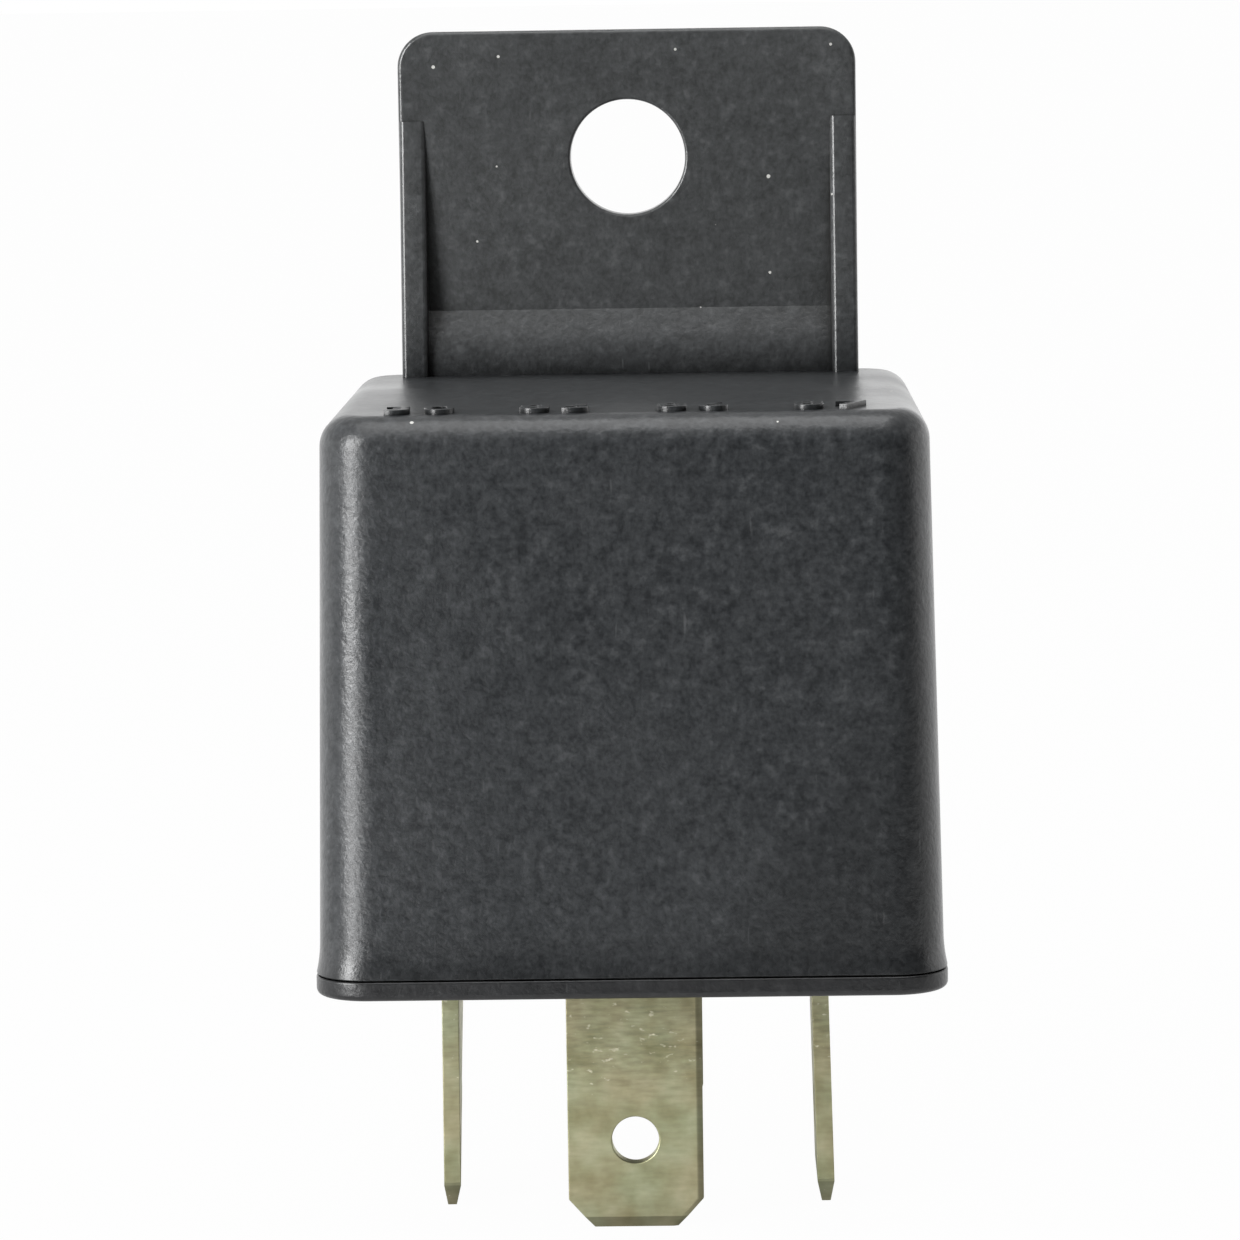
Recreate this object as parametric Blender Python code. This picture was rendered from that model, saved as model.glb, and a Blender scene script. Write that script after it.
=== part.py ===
"""Plug-in relay with a moulded fixing bracket, modelled at its real size in metres, +Z up.

The origin is the centre of the base's seating face, where the relay meets its socket. The blades
point down, the bracket points up, and +Y is the bracket's side. A coil stands on the base in an
L-shaped steel yoke. Its core pulls down a hinged armature, which carries a contact on a leaf spring.
"""

import math

import bmesh
import bpy
from mathutils import Matrix, Vector

# Clearances
FIT_GAP = 0.00005
SHAFT_GAP = 0.00006
COVER_GAP = 0.0001
EAR_GAP = 0.00015
RIM_GAP = 0.0001
WALL_ROOM = 0.0002
ROOF_ROOM = 0.0003
POST_ROOM = 0.0004
FOOT_ROOM = 0.0004
SINK = 0.0006

# Cover: a drafted cap with a flat back wall that runs up into the bracket
COVER_WIDTH = 0.0286
COVER_DEPTH = 0.0286
COVER_TOP = 0.0265
COVER_TAPER = 0.0005
COVER_WALL = 0.0012
COVER_ROOF = 0.0012
COVER_CORNER = 0.0024
COVER_TOP_ROUND = 0.0011
RIM_FLARE = 0.00015
RIM_FLARE_HEIGHT = 0.0014

# Bracket, moulded in one with the cover
TAB_WIDTH = 0.0227
TAB_HEIGHT = 0.0170
TAB_THICKNESS = 0.0020
TAB_CORNER = 0.00175
TAB_HOLE = 0.0057
TAB_HOLE_HEIGHT = 0.0107
TAB_SLOPE_HEIGHT = 0.0032
TAB_SLOPE_DEPTH = 0.0012
TAB_RIB_HEIGHT = 0.0126
TAB_RIB_DEPTH = 0.0015
TAB_RIB_WIDTH = 0.00115

# Base: a flange that closes the cover, with a plug that fits inside it
BASE_FLANGE = 0.00085
BASE_EDGE_ROUND = 0.0006
BASE_DECK = 0.0030
BEAD_LENGTH = 0.0100
BEAD_HEIGHT = 0.0003
BEAD_RISE = 0.0005
SUPPORT_RIB_WIDTH = 0.0014

# Blades
BLADE_WIDTH = 0.0063
BLADE_THICKNESS = 0.0008
BLADE_LENGTH = 0.0119
BLADE_87_LENGTH = 0.0102
BLADE_HOLE = 0.0022
BLADE_HOLE_UP = 0.00415
BLADE_CHAMFER_WIDTH = 0.0012
BLADE_CHAMFER_HEIGHT = 0.00135
BLADE_TIP_THICKNESS = 0.00045
BLADE_TIP_HEIGHT = 0.00065
BLADE_30_Y = -0.0085
BLADE_87_Y = 0.0085
COIL_BLADE_X = 0.0087
COIL_BLADE_Y = -0.0020
BEND_RADIUS = 0.0009
POST_WIDTH = 0.0020
POST_RISE = 0.0070
POST_SHOULDER = 0.0008

# Magnet frame
YOKE_THICKNESS = 0.0020
YOKE_WIDTH = 0.0150
YOKE_REACH = 0.0156
YOKE_BEND = 0.0018
EAR_WIDTH = 0.0012
EAR_HEIGHT = 0.0012
CORE_DIAMETER = 0.0068
CORE_SHANK_DIAMETER = 0.0045
CORE_HEAD_DIAMETER = 0.0095
CORE_HEAD_THICKNESS = 0.0009
CORE_STAKE_DIAMETER = 0.0056
CORE_STAKE_HEIGHT = 0.0004

# Coil
BOBBIN_FLANGE_THICKNESS = 0.0008
BOBBIN_FLANGE_CORNER = 0.0020
BOBBIN_FLANGE_DEPTH = 0.0156
BOBBIN_OVERHANG = 0.0003
BOBBIN_TUBE_WALL = 0.0007
WINDING_DIAMETER = 0.0140
LEAD_DIAMETER = 0.0004
LEAD_PITCH = 0.0007
LEAD_TURNS = 2.25
LEAD_HUG_FROM_DEG = -65
LEAD_HUG_TO_DEG = -44

# Armature, contact spring and contacts
ARMATURE_OPEN_DEG = 2.2
ARMATURE_INSET = 0.0003
ARMATURE_WIDTH = YOKE_WIDTH - 2 * ARMATURE_INSET
ARMATURE_THICKNESS = 0.0015
ARMATURE_LENGTH = 0.0162
ARMATURE_NOSE_CHAMFER = 0.0022
HEEL_ROUND = 0.0011
SPRING_THICKNESS = 0.00025
SPRING_WIDTH = 0.0090
SPRING_BEND_WIDTH = 0.0060
SPRING_TIP_WIDTH = 0.0042
SPRING_LEG = 0.0088
SPRING_TIP = 0.0013
CONTACT_DIAMETER = 0.0032
CONTACT_HEAD = 0.0009
CONTACT_DOME = 0.00025
CONTACT_SHANK_DIAMETER = 0.0016
CONTACT_TAIL_DIAMETER = 0.0022
CONTACT_TAIL_HEIGHT = 0.0003
RIVET_DIAMETER = 0.0018
RIVET_HEAD_DIAMETER = 0.0030
RIVET_HEAD_HEIGHT = 0.0005
RIVET_SPACING = 0.0050
DOME_FLAT_DEG = 30
YOKE_RIVET_DROP = 0.0060
ARMATURE_RIVET_REACH = 0.0105

# Stop over the contact spring, which sets the open position
STOP_WIDTH = 0.0040
STOP_THICKNESS = 0.0006
STOP_BACK_ROOM = 0.0004
STOP_FRONT_ROOM = 0.0002
STOP_REACH = 0.0034
STOP_DEPTH = 0.0018

# Facets
CORNER_STEPS = 6
EDGE_STEPS = 5
BEND_STEPS = 6
ROUND_SIDES = 32
RIVET_SIDES = 20
DOME_STEPS = 2
LEAD_STEPS_PER_TURN = 12
LEAD_HUG_STEPS = 3

# Depths worked out from the sizes above: the works fill the cover from front to back
back_y = COVER_DEPTH / 2
front_room = RIVET_HEAD_HEIGHT + SPRING_THICKNESS + 2 * FIT_GAP + WALL_ROOM
yoke_front = -COVER_DEPTH / 2 + COVER_TAPER + COVER_WALL + front_room
coil_y = yoke_front + YOKE_THICKNESS + FIT_GAP + BOBBIN_FLANGE_DEPTH / 2
stop_back = back_y - COVER_WALL - STOP_BACK_ROOM
stop_front = stop_back - STOP_THICKNESS
contact_y = stop_front - STOP_FRONT_ROOM - CONTACT_DIAMETER / 2
contact_reach = contact_y - yoke_front

# Heights: the stop's arm sets the pole face under the roof, and the coil takes what is left below it
open_angle = math.radians(ARMATURE_OPEN_DEG)
rim_z = BASE_FLANGE + RIM_GAP
spring_rise = FIT_GAP + ARMATURE_THICKNESS + FIT_GAP
tail_rise = spring_rise + SPRING_THICKNESS + FIT_GAP + CONTACT_TAIL_HEIGHT
tail_edge = contact_reach + CONTACT_TAIL_DIAMETER / 2
open_rise = tail_edge * math.sin(open_angle) + tail_rise * math.cos(open_angle)
stop_low = COVER_TOP - COVER_ROOF - ROOF_ROOM - STOP_THICKNESS
pole_z = stop_low - FIT_GAP - open_rise
yoke_z = BASE_DECK + FIT_GAP + BLADE_THICKNESS + FIT_GAP
bobbin_low = yoke_z + YOKE_THICKNESS + FIT_GAP
bobbin_top = pole_z - CORE_HEAD_THICKNESS - FIT_GAP
winding_low = bobbin_low + BOBBIN_FLANGE_THICKNESS + FIT_GAP
winding_high = bobbin_top - BOBBIN_FLANGE_THICKNESS - FIT_GAP
tube_radius = CORE_DIAMETER / 2 + SHAFT_GAP + BOBBIN_TUBE_WALL
armature_low = pole_z + FIT_GAP
armature_high = armature_low + ARMATURE_THICKNESS
spring_low = pole_z + spring_rise
spring_high = spring_low + SPRING_THICKNESS
contact_height = CONTACT_HEAD + CONTACT_DOME
fixed_arm_top = spring_low - 2 * contact_height - 3 * FIT_GAP
hinge = Vector((0, yoke_front, pole_z))


def clear_scene():
    for obj in list(bpy.data.objects):
        bpy.data.objects.remove(obj, do_unlink=True)


def material(name, colour, roughness, metallic=0.0):
    made = bpy.data.materials.new(name)
    made.use_nodes = True
    shader = made.node_tree.nodes["Principled BSDF"]
    shader.inputs["Base Color"].default_value = (*colour, 1)
    shader.inputs["Roughness"].default_value = roughness
    shader.inputs["Metallic"].default_value = metallic
    made.diffuse_color = (*colour, 1)
    return made


def add_object(name, bm, finish=None):
    """A named object from a bmesh, with its faces turned outwards and round faces shaded smooth."""
    bmesh.ops.recalc_face_normals(bm, faces=bm.faces)
    mesh = bpy.data.meshes.new(name)
    bm.to_mesh(mesh)
    bm.free()
    mesh.shade_smooth()
    mesh.set_sharp_from_angle(angle=math.radians(35))
    obj = bpy.data.objects.new(name, mesh)
    bpy.context.scene.collection.objects.link(obj)
    if finish:
        mesh.materials.append(finish)
    return obj


def combine(obj, other, operation):
    """Joins other to obj, or cuts it out of obj, and hides it."""
    modifier = obj.modifiers.new(f"{operation.lower()}_{other.name}", "BOOLEAN")
    modifier.operation = operation
    modifier.solver = "EXACT"
    modifier.object = other
    other.hide_render = True
    other.display_type = "WIRE"
    return obj


def loft(loops, closed=False):
    """A skin through loops of as many points each, with flat ends unless the loops close on themselves."""
    bm = bmesh.new()
    rings = [[bm.verts.new(point) for point in loop] for loop in loops]
    pairs = list(zip(rings, rings[1:]))
    if closed:
        pairs.append((rings[-1], rings[0]))
    for low, high in pairs:
        for i in range(len(low)):
            j = (i + 1) % len(low)
            bm.faces.new((low[i], low[j], high[j], high[i]))
    if not closed:
        bm.faces.new(rings[0][::-1])
        bm.faces.new(rings[-1])
    return bm


def span(first, last, steps):
    """Evenly spaced values from first to last."""
    return [first + (last - first) * k / steps for k in range(steps + 1)]


def arc(centre, radius, start_deg, end_deg, steps):
    """Points on a circle, from one angle to another."""
    angles = [math.radians(a) for a in span(start_deg, end_deg, steps)]
    return [(centre[0] + radius * math.cos(a), centre[1] + radius * math.sin(a)) for a in angles]


def rounded_rectangle(left, right, front, back, radius):
    """An outline of four quarter arcs, anticlockwise from the right-hand back corner."""
    corners = [
        (right - radius, back - radius, 0),
        (left + radius, back - radius, 90),
        (left + radius, front + radius, 180),
        (right - radius, front + radius, 270),
    ]
    return [p for x, y, a in corners for p in arc((x, y), radius, a, a + 90, CORNER_STEPS)]


def circle(radius, count):
    return arc((0, 0), radius, 0, 360, count)[:-1]


def at_height(outline, z):
    return [(x, y, z) for x, y in outline]


def along_x(outline, x):
    """An outline of (y, z) points, set at x."""
    return [(x, y, z) for y, z in outline]


def along_y(outline, y):
    """An outline of (x, z) points, set at y."""
    return [(x, y, z) for x, z in outline]


def box(name, low, high):
    """A plain block from its lowest to its highest corner."""
    outline = [(low[0], low[1]), (high[0], low[1]), (high[0], high[1]), (low[0], high[1])]
    return add_object(name, loft([at_height(outline, low[2]), at_height(outline, high[2])]))


def turned(name, profile, sides, finish=None):
    """A solid turned about Z through (radius, z) points from bottom to top."""
    return add_object(name, loft([at_height(circle(r, sides), z) for r, z in profile]), finish)


def pin(name, radius, low, high, axis, at, sides=RIVET_SIDES):
    """A round cutter from low to high along an axis through a point."""
    cutter = turned(name, [(radius, low), (radius, high)], sides)
    cutter.data.transform(turn_to(axis))
    cutter.data.transform(Matrix.Translation(at))
    return cutter


def turn_to(axis):
    """The turn that takes +Z to the named axis."""
    turns = {
        "X": Matrix.Rotation(math.radians(90), 4, "Y"),
        "Y": Matrix.Rotation(math.radians(-90), 4, "X"),
        "Z": Matrix.Identity(4),
        "-Z": Matrix.Rotation(math.radians(180), 4, "X"),
    }
    return turns[axis]


def strip(name, centreline, widths, thicknesses, across, finish):
    """Sheet metal along a centreline of (sideways, z) points, with a width and thickness at each point.

    The sheet's width runs along X and the centreline along Y, or the other way round.
    """
    loops = []
    for i, (u, z) in enumerate(centreline):
        before = centreline[max(i - 1, 0)]
        after = centreline[min(i + 1, len(centreline) - 1)]
        run = Vector((after[0] - before[0], after[1] - before[1])).normalized()
        half = thicknesses[i] / 2
        sides = [(u - run.y * half, z + run.x * half), (u + run.y * half, z - run.x * half)]
        reach = widths[i] / 2
        loop = [(-reach, sides[0]), (reach, sides[0]), (reach, sides[1]), (-reach, sides[1])]
        loops.append([(w, *p) if across == "X" else (p[0], w, p[1]) for w, p in loop])
    return add_object(name, loft(loops), finish)


def carry(obj, pivot):
    """Makes an object that was built in place, with the armature closed, move with the pivot."""
    obj.data.transform(Matrix.Translation(-hinge))
    obj.parent = pivot
    return obj


def cover_wall(z, extra=0.0):
    """Left, right, front and back of the cover's outer walls at a height, moved inwards by extra."""
    lean = COVER_TAPER * (z - rim_z) / (COVER_TOP - rim_z) + extra
    flare = RIM_FLARE * max(0.0, 1 - (z - rim_z) / RIM_FLARE_HEIGHT)
    side = COVER_WIDTH / 2 - lean + flare
    return -side, side, -COVER_DEPTH / 2 + lean - flare, back_y - extra


def cover_inside(z, extra=0.0):
    """Left, right, front and back of the cover's inner walls at a height, moved inwards by extra."""
    lean = COVER_TAPER * (z - rim_z) / (COVER_TOP - rim_z) + extra
    side = COVER_WIDTH / 2 - COVER_WALL - lean
    return -side, side, -COVER_DEPTH / 2 + COVER_WALL + lean, back_y - COVER_WALL - extra


def cover_shell(finish):
    """The drafted cap: down its inner walls, across its rim and up its outer walls to a rounded top."""
    inner_corner = COVER_CORNER - COVER_WALL
    ceiling = COVER_TOP - COVER_ROOF
    loops = [
        at_height(rounded_rectangle(*cover_inside(z), inner_corner), z) for z in (ceiling, rim_z)
    ]
    for z in (rim_z, rim_z + RIM_FLARE_HEIGHT):
        loops.append(at_height(rounded_rectangle(*cover_wall(z), COVER_CORNER), z))
    for a in (math.radians(d) for d in span(0, 90, EDGE_STEPS)):
        inwards = COVER_TOP_ROUND * (1 - math.cos(a))
        z = COVER_TOP - COVER_TOP_ROUND * (1 - math.sin(a))
        outline = rounded_rectangle(*cover_wall(z, inwards), COVER_CORNER - inwards)
        loops.append(at_height(outline, z))
    return add_object("cover", loft(loops), finish)


def bracket_tab():
    """The flat tab with rounded top corners, sunk through the roof's rounded back edge."""
    half = TAB_WIDTH / 2
    high = COVER_TOP + TAB_HEIGHT
    low = COVER_TOP - (COVER_TOP_ROUND + COVER_ROOF) / 2
    outline = [(-half, low), (half, low)]
    outline += arc((half - TAB_CORNER, high - TAB_CORNER), TAB_CORNER, 0, 90, CORNER_STEPS)
    outline += arc((-half + TAB_CORNER, high - TAB_CORNER), TAB_CORNER, 90, 180, CORNER_STEPS)
    front = back_y - TAB_THICKNESS
    return add_object("tab_blank", loft([along_y(outline, front), along_y(outline, back_y)]))


def tab_wedge(name, height, depth, left, right):
    """A piece that leans out from the tab's front face, from nothing at its top to depth at the roof."""
    front = back_y - TAB_THICKNESS
    inside = back_y - TAB_THICKNESS / 2
    low = COVER_TOP - SINK
    foot = depth * (1 + SINK / height)
    high = COVER_TOP + height
    outline = [(front, high), (front - foot, low), (inside, low), (inside, high)]
    return add_object(name, loft([along_x(outline, left), along_x(outline, right)]))


def make_cover(finish):
    cover = cover_shell(finish)
    half = TAB_WIDTH / 2
    overlap = TAB_RIB_WIDTH / 2
    tab = bracket_tab()
    reach = half - overlap
    slope = tab_wedge("tab_slope", TAB_SLOPE_HEIGHT, TAB_SLOPE_DEPTH, -reach, reach)
    combine(tab, slope, "UNION")
    for side, left in (("left", -half), ("right", half - TAB_RIB_WIDTH)):
        rib = tab_wedge(f"tab_rib_{side}", TAB_RIB_HEIGHT, TAB_RIB_DEPTH, left, left + TAB_RIB_WIDTH)
        combine(tab, rib, "UNION")
    combine(cover, tab, "UNION")
    hole_at = (0, back_y, COVER_TOP + TAB_HOLE_HEIGHT)
    hole = pin("tab_hole", TAB_HOLE / 2, -2 * TAB_THICKNESS, TAB_THICKNESS, "Y", hole_at, ROUND_SIDES)
    combine(cover, hole, "DIFFERENCE")
    for side in (-1, 1):
        name = "latch_groove_left" if side < 0 else "latch_groove_right"
        combine(cover, latch(name, side, BEAD_HEIGHT + COVER_GAP, COVER_GAP), "DIFFERENCE")
    return cover


def plug_walls(z):
    """Left, right, front and back of the base's plug, which clears the cover's inner walls."""
    return cover_inside(z, COVER_GAP)


def latch(name, side, height, margin):
    """The ridge that holds the base in the cover, or with a margin the groove that it snaps into."""
    z = (BASE_FLANGE + BASE_DECK) / 2
    face = plug_walls(BASE_DECK)[1]
    rise = BEAD_RISE + margin
    outline = [(face - SINK, z - rise), (face + height, z), (face - SINK, z + rise)]
    if margin:
        outline[0] = (face, z - rise)
        outline[2] = (face, z + rise)
    half = BEAD_LENGTH / 2 + margin
    points = [(side * x, h) for x, h in outline]
    return add_object(name, loft([along_y(points, -half), along_y(points, half)]))


def make_base(finish):
    """The flange with a rounded lower edge, and the plug above it with slots for the terminals."""
    loops = []
    for a in (math.radians(d) for d in span(0, 90, EDGE_STEPS)):
        inwards = BASE_EDGE_ROUND * (1 - math.sin(a))
        z = BASE_EDGE_ROUND * (1 - math.cos(a))
        outline = rounded_rectangle(*cover_wall(rim_z, inwards), COVER_CORNER - inwards)
        loops.append(at_height(outline, z))
    loops.append(at_height(rounded_rectangle(*cover_wall(rim_z), COVER_CORNER), BASE_FLANGE))
    corner = COVER_CORNER - COVER_WALL
    for z in (BASE_FLANGE, BASE_DECK):
        loops.append(at_height(rounded_rectangle(*plug_walls(BASE_DECK), corner), z))
    base = add_object("base_plate", loft(loops), finish)
    for side in (-1, 1):
        name = "latch_bead_left" if side < 0 else "latch_bead_right"
        combine(base, latch(name, side, BEAD_HEIGHT, 0.0), "UNION")
    rib_out = YOKE_WIDTH / 2
    for side, left in (("left", -rib_out), ("right", rib_out - SUPPORT_RIB_WIDTH)):
        low = (left, yoke_front, BASE_DECK - SINK)
        high = (left + SUPPORT_RIB_WIDTH, yoke_front + YOKE_REACH, yoke_z - FIT_GAP)
        combine(base, box(f"support_rib_{side}", low, high), "UNION")
    for slot in terminal_slots():
        combine(base, slot, "DIFFERENCE")
    return base


def terminal_slots():
    """Cutters for the slots that hold the four blades, and for the blind slot of the stop."""
    wide = BLADE_WIDTH / 2 + FIT_GAP
    thick = BLADE_THICKNESS / 2 + FIT_GAP
    under, over = -SINK, yoke_z + SINK
    cuts = []
    for name, y in (("slot_30", BLADE_30_Y), ("slot_87", BLADE_87_Y)):
        cuts.append(box(name, (-wide, y - thick, under), (wide, y + thick, over)))
    for name, x in (("slot_85", COIL_BLADE_X), ("slot_86", -COIL_BLADE_X)):
        low = (x - thick, COIL_BLADE_Y - wide, under)
        cuts.append(box(name, low, (x + thick, COIL_BLADE_Y + wide, over)))
    low = (-wide, BLADE_30_Y, BASE_DECK - BEND_RADIUS)
    cuts.append(box("foot_relief", low, (wide, BLADE_30_Y + BEND_RADIUS, over)))
    half = STOP_WIDTH / 2 + FIT_GAP
    low = (-half, stop_front - FIT_GAP, BASE_DECK - STOP_DEPTH)
    cuts.append(box("slot_stop", low, (half, stop_back + FIT_GAP, over)))
    return cuts


def blade_stations(length):
    """Heights, widths and thicknesses of a blade's tip, from its end up to its full section."""
    tip = -length
    end_width = BLADE_WIDTH - 2 * BLADE_CHAMFER_WIDTH
    part = BLADE_TIP_HEIGHT / BLADE_CHAMFER_HEIGHT
    mid_width = end_width + 2 * BLADE_CHAMFER_WIDTH * part
    return [
        (tip, end_width, BLADE_TIP_THICKNESS),
        (tip + BLADE_TIP_HEIGHT, mid_width, BLADE_THICKNESS),
        (tip + BLADE_CHAMFER_HEIGHT, BLADE_WIDTH, BLADE_THICKNESS),
    ]


def drill_blade(terminal, name, axis, x, y, length):
    at = (x, y, -length + BLADE_HOLE_UP)
    cutter = pin(name, BLADE_HOLE / 2, -2 * BLADE_THICKNESS, 2 * BLADE_THICKNESS, axis, at)
    return combine(terminal, cutter, "DIFFERENCE")


def contact_terminal(name, y, length, arm_z, reach, finish):
    """A blade that rises through the base and bends back at arm_z into a flat arm, up to reach in Y."""
    stations = blade_stations(length)
    line = [(y, z) for z, _, _ in stations]
    widths = [w for _, w, _ in stations]
    thicknesses = [t for _, _, t in stations]
    bend = arc((y + BEND_RADIUS, arm_z - BEND_RADIUS), BEND_RADIUS, 180, 90, BEND_STEPS)
    line += bend + [(reach, arm_z)]
    widths += [BLADE_WIDTH] * (len(bend) + 1)
    thicknesses += [BLADE_THICKNESS] * (len(bend) + 1)
    terminal = strip(name, line, widths, thicknesses, "X", finish)
    return drill_blade(terminal, f"{name}_hole", "Y", 0, y, length)


def make_terminal_30(finish):
    """The common terminal: its foot lies under the yoke, which it is welded to."""
    foot_z = BASE_DECK + FIT_GAP + BLADE_THICKNESS / 2
    reach = coil_y - CORE_STAKE_DIAMETER / 2 - FOOT_ROOM
    return contact_terminal("terminal_30", BLADE_30_Y, BLADE_LENGTH, foot_z, reach, finish)


def make_terminal_87(finish):
    """The switched terminal: it rises behind the coil and carries the fixed contact on its arm."""
    arm_z = fixed_arm_top - BLADE_THICKNESS / 2
    reach = contact_y + CONTACT_DIAMETER / 2
    terminal = contact_terminal("terminal_87", BLADE_87_Y, BLADE_87_LENGTH, arm_z, reach, finish)
    radius = CONTACT_SHANK_DIAMETER / 2 + SHAFT_GAP
    at = (0, contact_y, arm_z)
    cutter = pin("fixed_contact_hole", radius, -BLADE_THICKNESS, BLADE_THICKNESS, "Z", at)
    return combine(terminal, cutter, "DIFFERENCE")


def make_coil_terminal(name, x, finish):
    """A blade whose inner end narrows to a post for the coil's wire."""
    shoulder = BASE_DECK + FIT_GAP
    stations = blade_stations(BLADE_LENGTH) + [
        (shoulder, BLADE_WIDTH, BLADE_THICKNESS),
        (shoulder + POST_SHOULDER, POST_WIDTH, BLADE_THICKNESS),
        (shoulder + POST_RISE, POST_WIDTH, BLADE_THICKNESS),
    ]
    line = [(x, z) for z, _, _ in stations]
    widths = [w for _, w, _ in stations]
    terminal = strip(name, line, widths, [t for _, _, t in stations], "Y", finish)
    terminal.data.transform(Matrix.Translation((0, COIL_BLADE_Y, 0)))
    return drill_blade(terminal, f"{name}_hole", "X", x, COIL_BLADE_Y, BLADE_LENGTH)


def make_yoke(finish):
    """The L-shaped frame, with two ears that keep the armature in its place and holes for rivets."""
    front, inner = yoke_front, yoke_front + YOKE_THICKNESS
    floor = yoke_z + YOKE_THICKNESS
    outline = [(front + YOKE_REACH, yoke_z), (front + YOKE_REACH, floor), (inner, floor)]
    outline += [(inner, pole_z + EAR_HEIGHT), (front, pole_z + EAR_HEIGHT)]
    outline += arc((front + YOKE_BEND, yoke_z + YOKE_BEND), YOKE_BEND, 180, 270, BEND_STEPS)
    half = YOKE_WIDTH / 2
    yoke = add_object("yoke", loft([along_x(outline, -half), along_x(outline, half)]), finish)
    notch = half - EAR_WIDTH
    low = (-notch, front - SINK, pole_z)
    high = (notch, inner + SINK, pole_z + EAR_HEIGHT + SINK)
    combine(yoke, box("hinge_notch", low, high), "DIFFERENCE")
    shank = CORE_SHANK_DIAMETER / 2 + SHAFT_GAP
    at = (0, coil_y, yoke_z)
    combine(yoke, pin("core_hole", shank, -SINK, YOKE_THICKNESS + SINK, "Z", at, ROUND_SIDES), "DIFFERENCE")
    for side, x in rivet_places():
        at = (x, front, pole_z - YOKE_RIVET_DROP)
        radius = RIVET_DIAMETER / 2 + SHAFT_GAP
        hole = pin(f"yoke_rivet_hole_{side}", radius, -SINK, YOKE_THICKNESS + SINK, "Y", at)
        combine(yoke, hole, "DIFFERENCE")
    return yoke


def rivet_places():
    return ("left", -RIVET_SPACING / 2), ("right", RIVET_SPACING / 2)


def make_core(finish):
    """The pole piece: a round head over the bobbin, and a shank staked under the yoke."""
    under = yoke_z - FIT_GAP
    seat = yoke_z + YOKE_THICKNESS + FIT_GAP
    profile = [
        (CORE_STAKE_DIAMETER / 2, under - CORE_STAKE_HEIGHT),
        (CORE_STAKE_DIAMETER / 2, under),
        (CORE_SHANK_DIAMETER / 2, under),
        (CORE_SHANK_DIAMETER / 2, seat),
        (CORE_DIAMETER / 2, seat),
        (CORE_DIAMETER / 2, pole_z - CORE_HEAD_THICKNESS),
        (CORE_HEAD_DIAMETER / 2, pole_z - CORE_HEAD_THICKNESS),
        (CORE_HEAD_DIAMETER / 2, pole_z),
    ]
    core = turned("core", profile, ROUND_SIDES, finish)
    core.location = (0, coil_y, 0)
    return core


def make_bobbin(finish):
    """The coil former: a tube over the core between two flanges, the lower one clear of the posts."""
    wide = YOKE_WIDTH / 2 + BOBBIN_OVERHANG
    deep = BOBBIN_FLANGE_DEPTH / 2
    flange = rounded_rectangle(-wide, wide, -deep, deep, BOBBIN_FLANGE_CORNER)
    bore = circle(CORE_DIAMETER / 2 + SHAFT_GAP, len(flange))
    tube = circle(tube_radius, len(flange))
    low_flange = bobbin_low + BOBBIN_FLANGE_THICKNESS
    high_flange = bobbin_top - BOBBIN_FLANGE_THICKNESS
    loops = [
        at_height(bore, bobbin_low),
        at_height(flange, bobbin_low),
        at_height(flange, low_flange),
        at_height(tube, low_flange),
        at_height(tube, high_flange),
        at_height(flange, high_flange),
        at_height(flange, bobbin_top),
        at_height(bore, bobbin_top),
    ]
    bobbin = add_object("bobbin", loft(loops, closed=True), finish)
    bobbin.location = (0, coil_y, 0)
    post_in = COIL_BLADE_X - BLADE_THICKNESS / 2 - POST_ROOM
    post_out = COIL_BLADE_X + BLADE_THICKNESS / 2 + POST_ROOM
    reach = POST_WIDTH / 2 + POST_ROOM
    for side, left, right in (("left", -post_out, -post_in), ("right", post_in, post_out)):
        low = (left, COIL_BLADE_Y - reach, bobbin_low - SINK)
        high = (right, COIL_BLADE_Y + reach, low_flange + SINK)
        combine(bobbin, box(f"post_notch_{side}", low, high), "DIFFERENCE")
    return bobbin


def make_winding(finish):
    """The coil of enamelled wire, as one sleeve that fills the bobbin."""
    inside = circle(tube_radius + FIT_GAP, ROUND_SIDES)
    outside = circle(WINDING_DIAMETER / 2, ROUND_SIDES)
    loops = [
        at_height(inside, winding_low),
        at_height(outside, winding_low),
        at_height(outside, winding_high),
        at_height(inside, winding_high),
    ]
    winding = add_object("coil_winding", loft(loops, closed=True), finish)
    winding.location = (0, coil_y, 0)
    return winding


def lead_points(side):
    """The wire's route: round the winding's lower end, across to the post and round it as a helix."""
    wire = LEAD_DIAMETER / 2
    start_z = winding_low + wire + FIT_GAP
    radius = WINDING_DIAMETER / 2 + wire + FIT_GAP
    hug = arc((0, coil_y), radius, LEAD_HUG_FROM_DEG, LEAD_HUG_TO_DEG, LEAD_HUG_STEPS)
    points = [(x, y, start_z) for x, y in hug]
    wrap_x = math.sqrt(2) * BLADE_THICKNESS / 2 + wire + FIT_GAP
    wrap_y = math.sqrt(2) * POST_WIDTH / 2 + wire + FIT_GAP
    steps = round(LEAD_STEPS_PER_TURN * LEAD_TURNS)
    for k in range(steps + 1):
        a = math.radians(-90 + 360 * k / LEAD_STEPS_PER_TURN)
        rise = LEAD_PITCH * (1 + k / LEAD_STEPS_PER_TURN)
        x = COIL_BLADE_X + wrap_x * math.cos(a)
        points.append((x, COIL_BLADE_Y + wrap_y * math.sin(a), start_z + rise))
    return [(side * x, y, z) for x, y, z in points]


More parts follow.
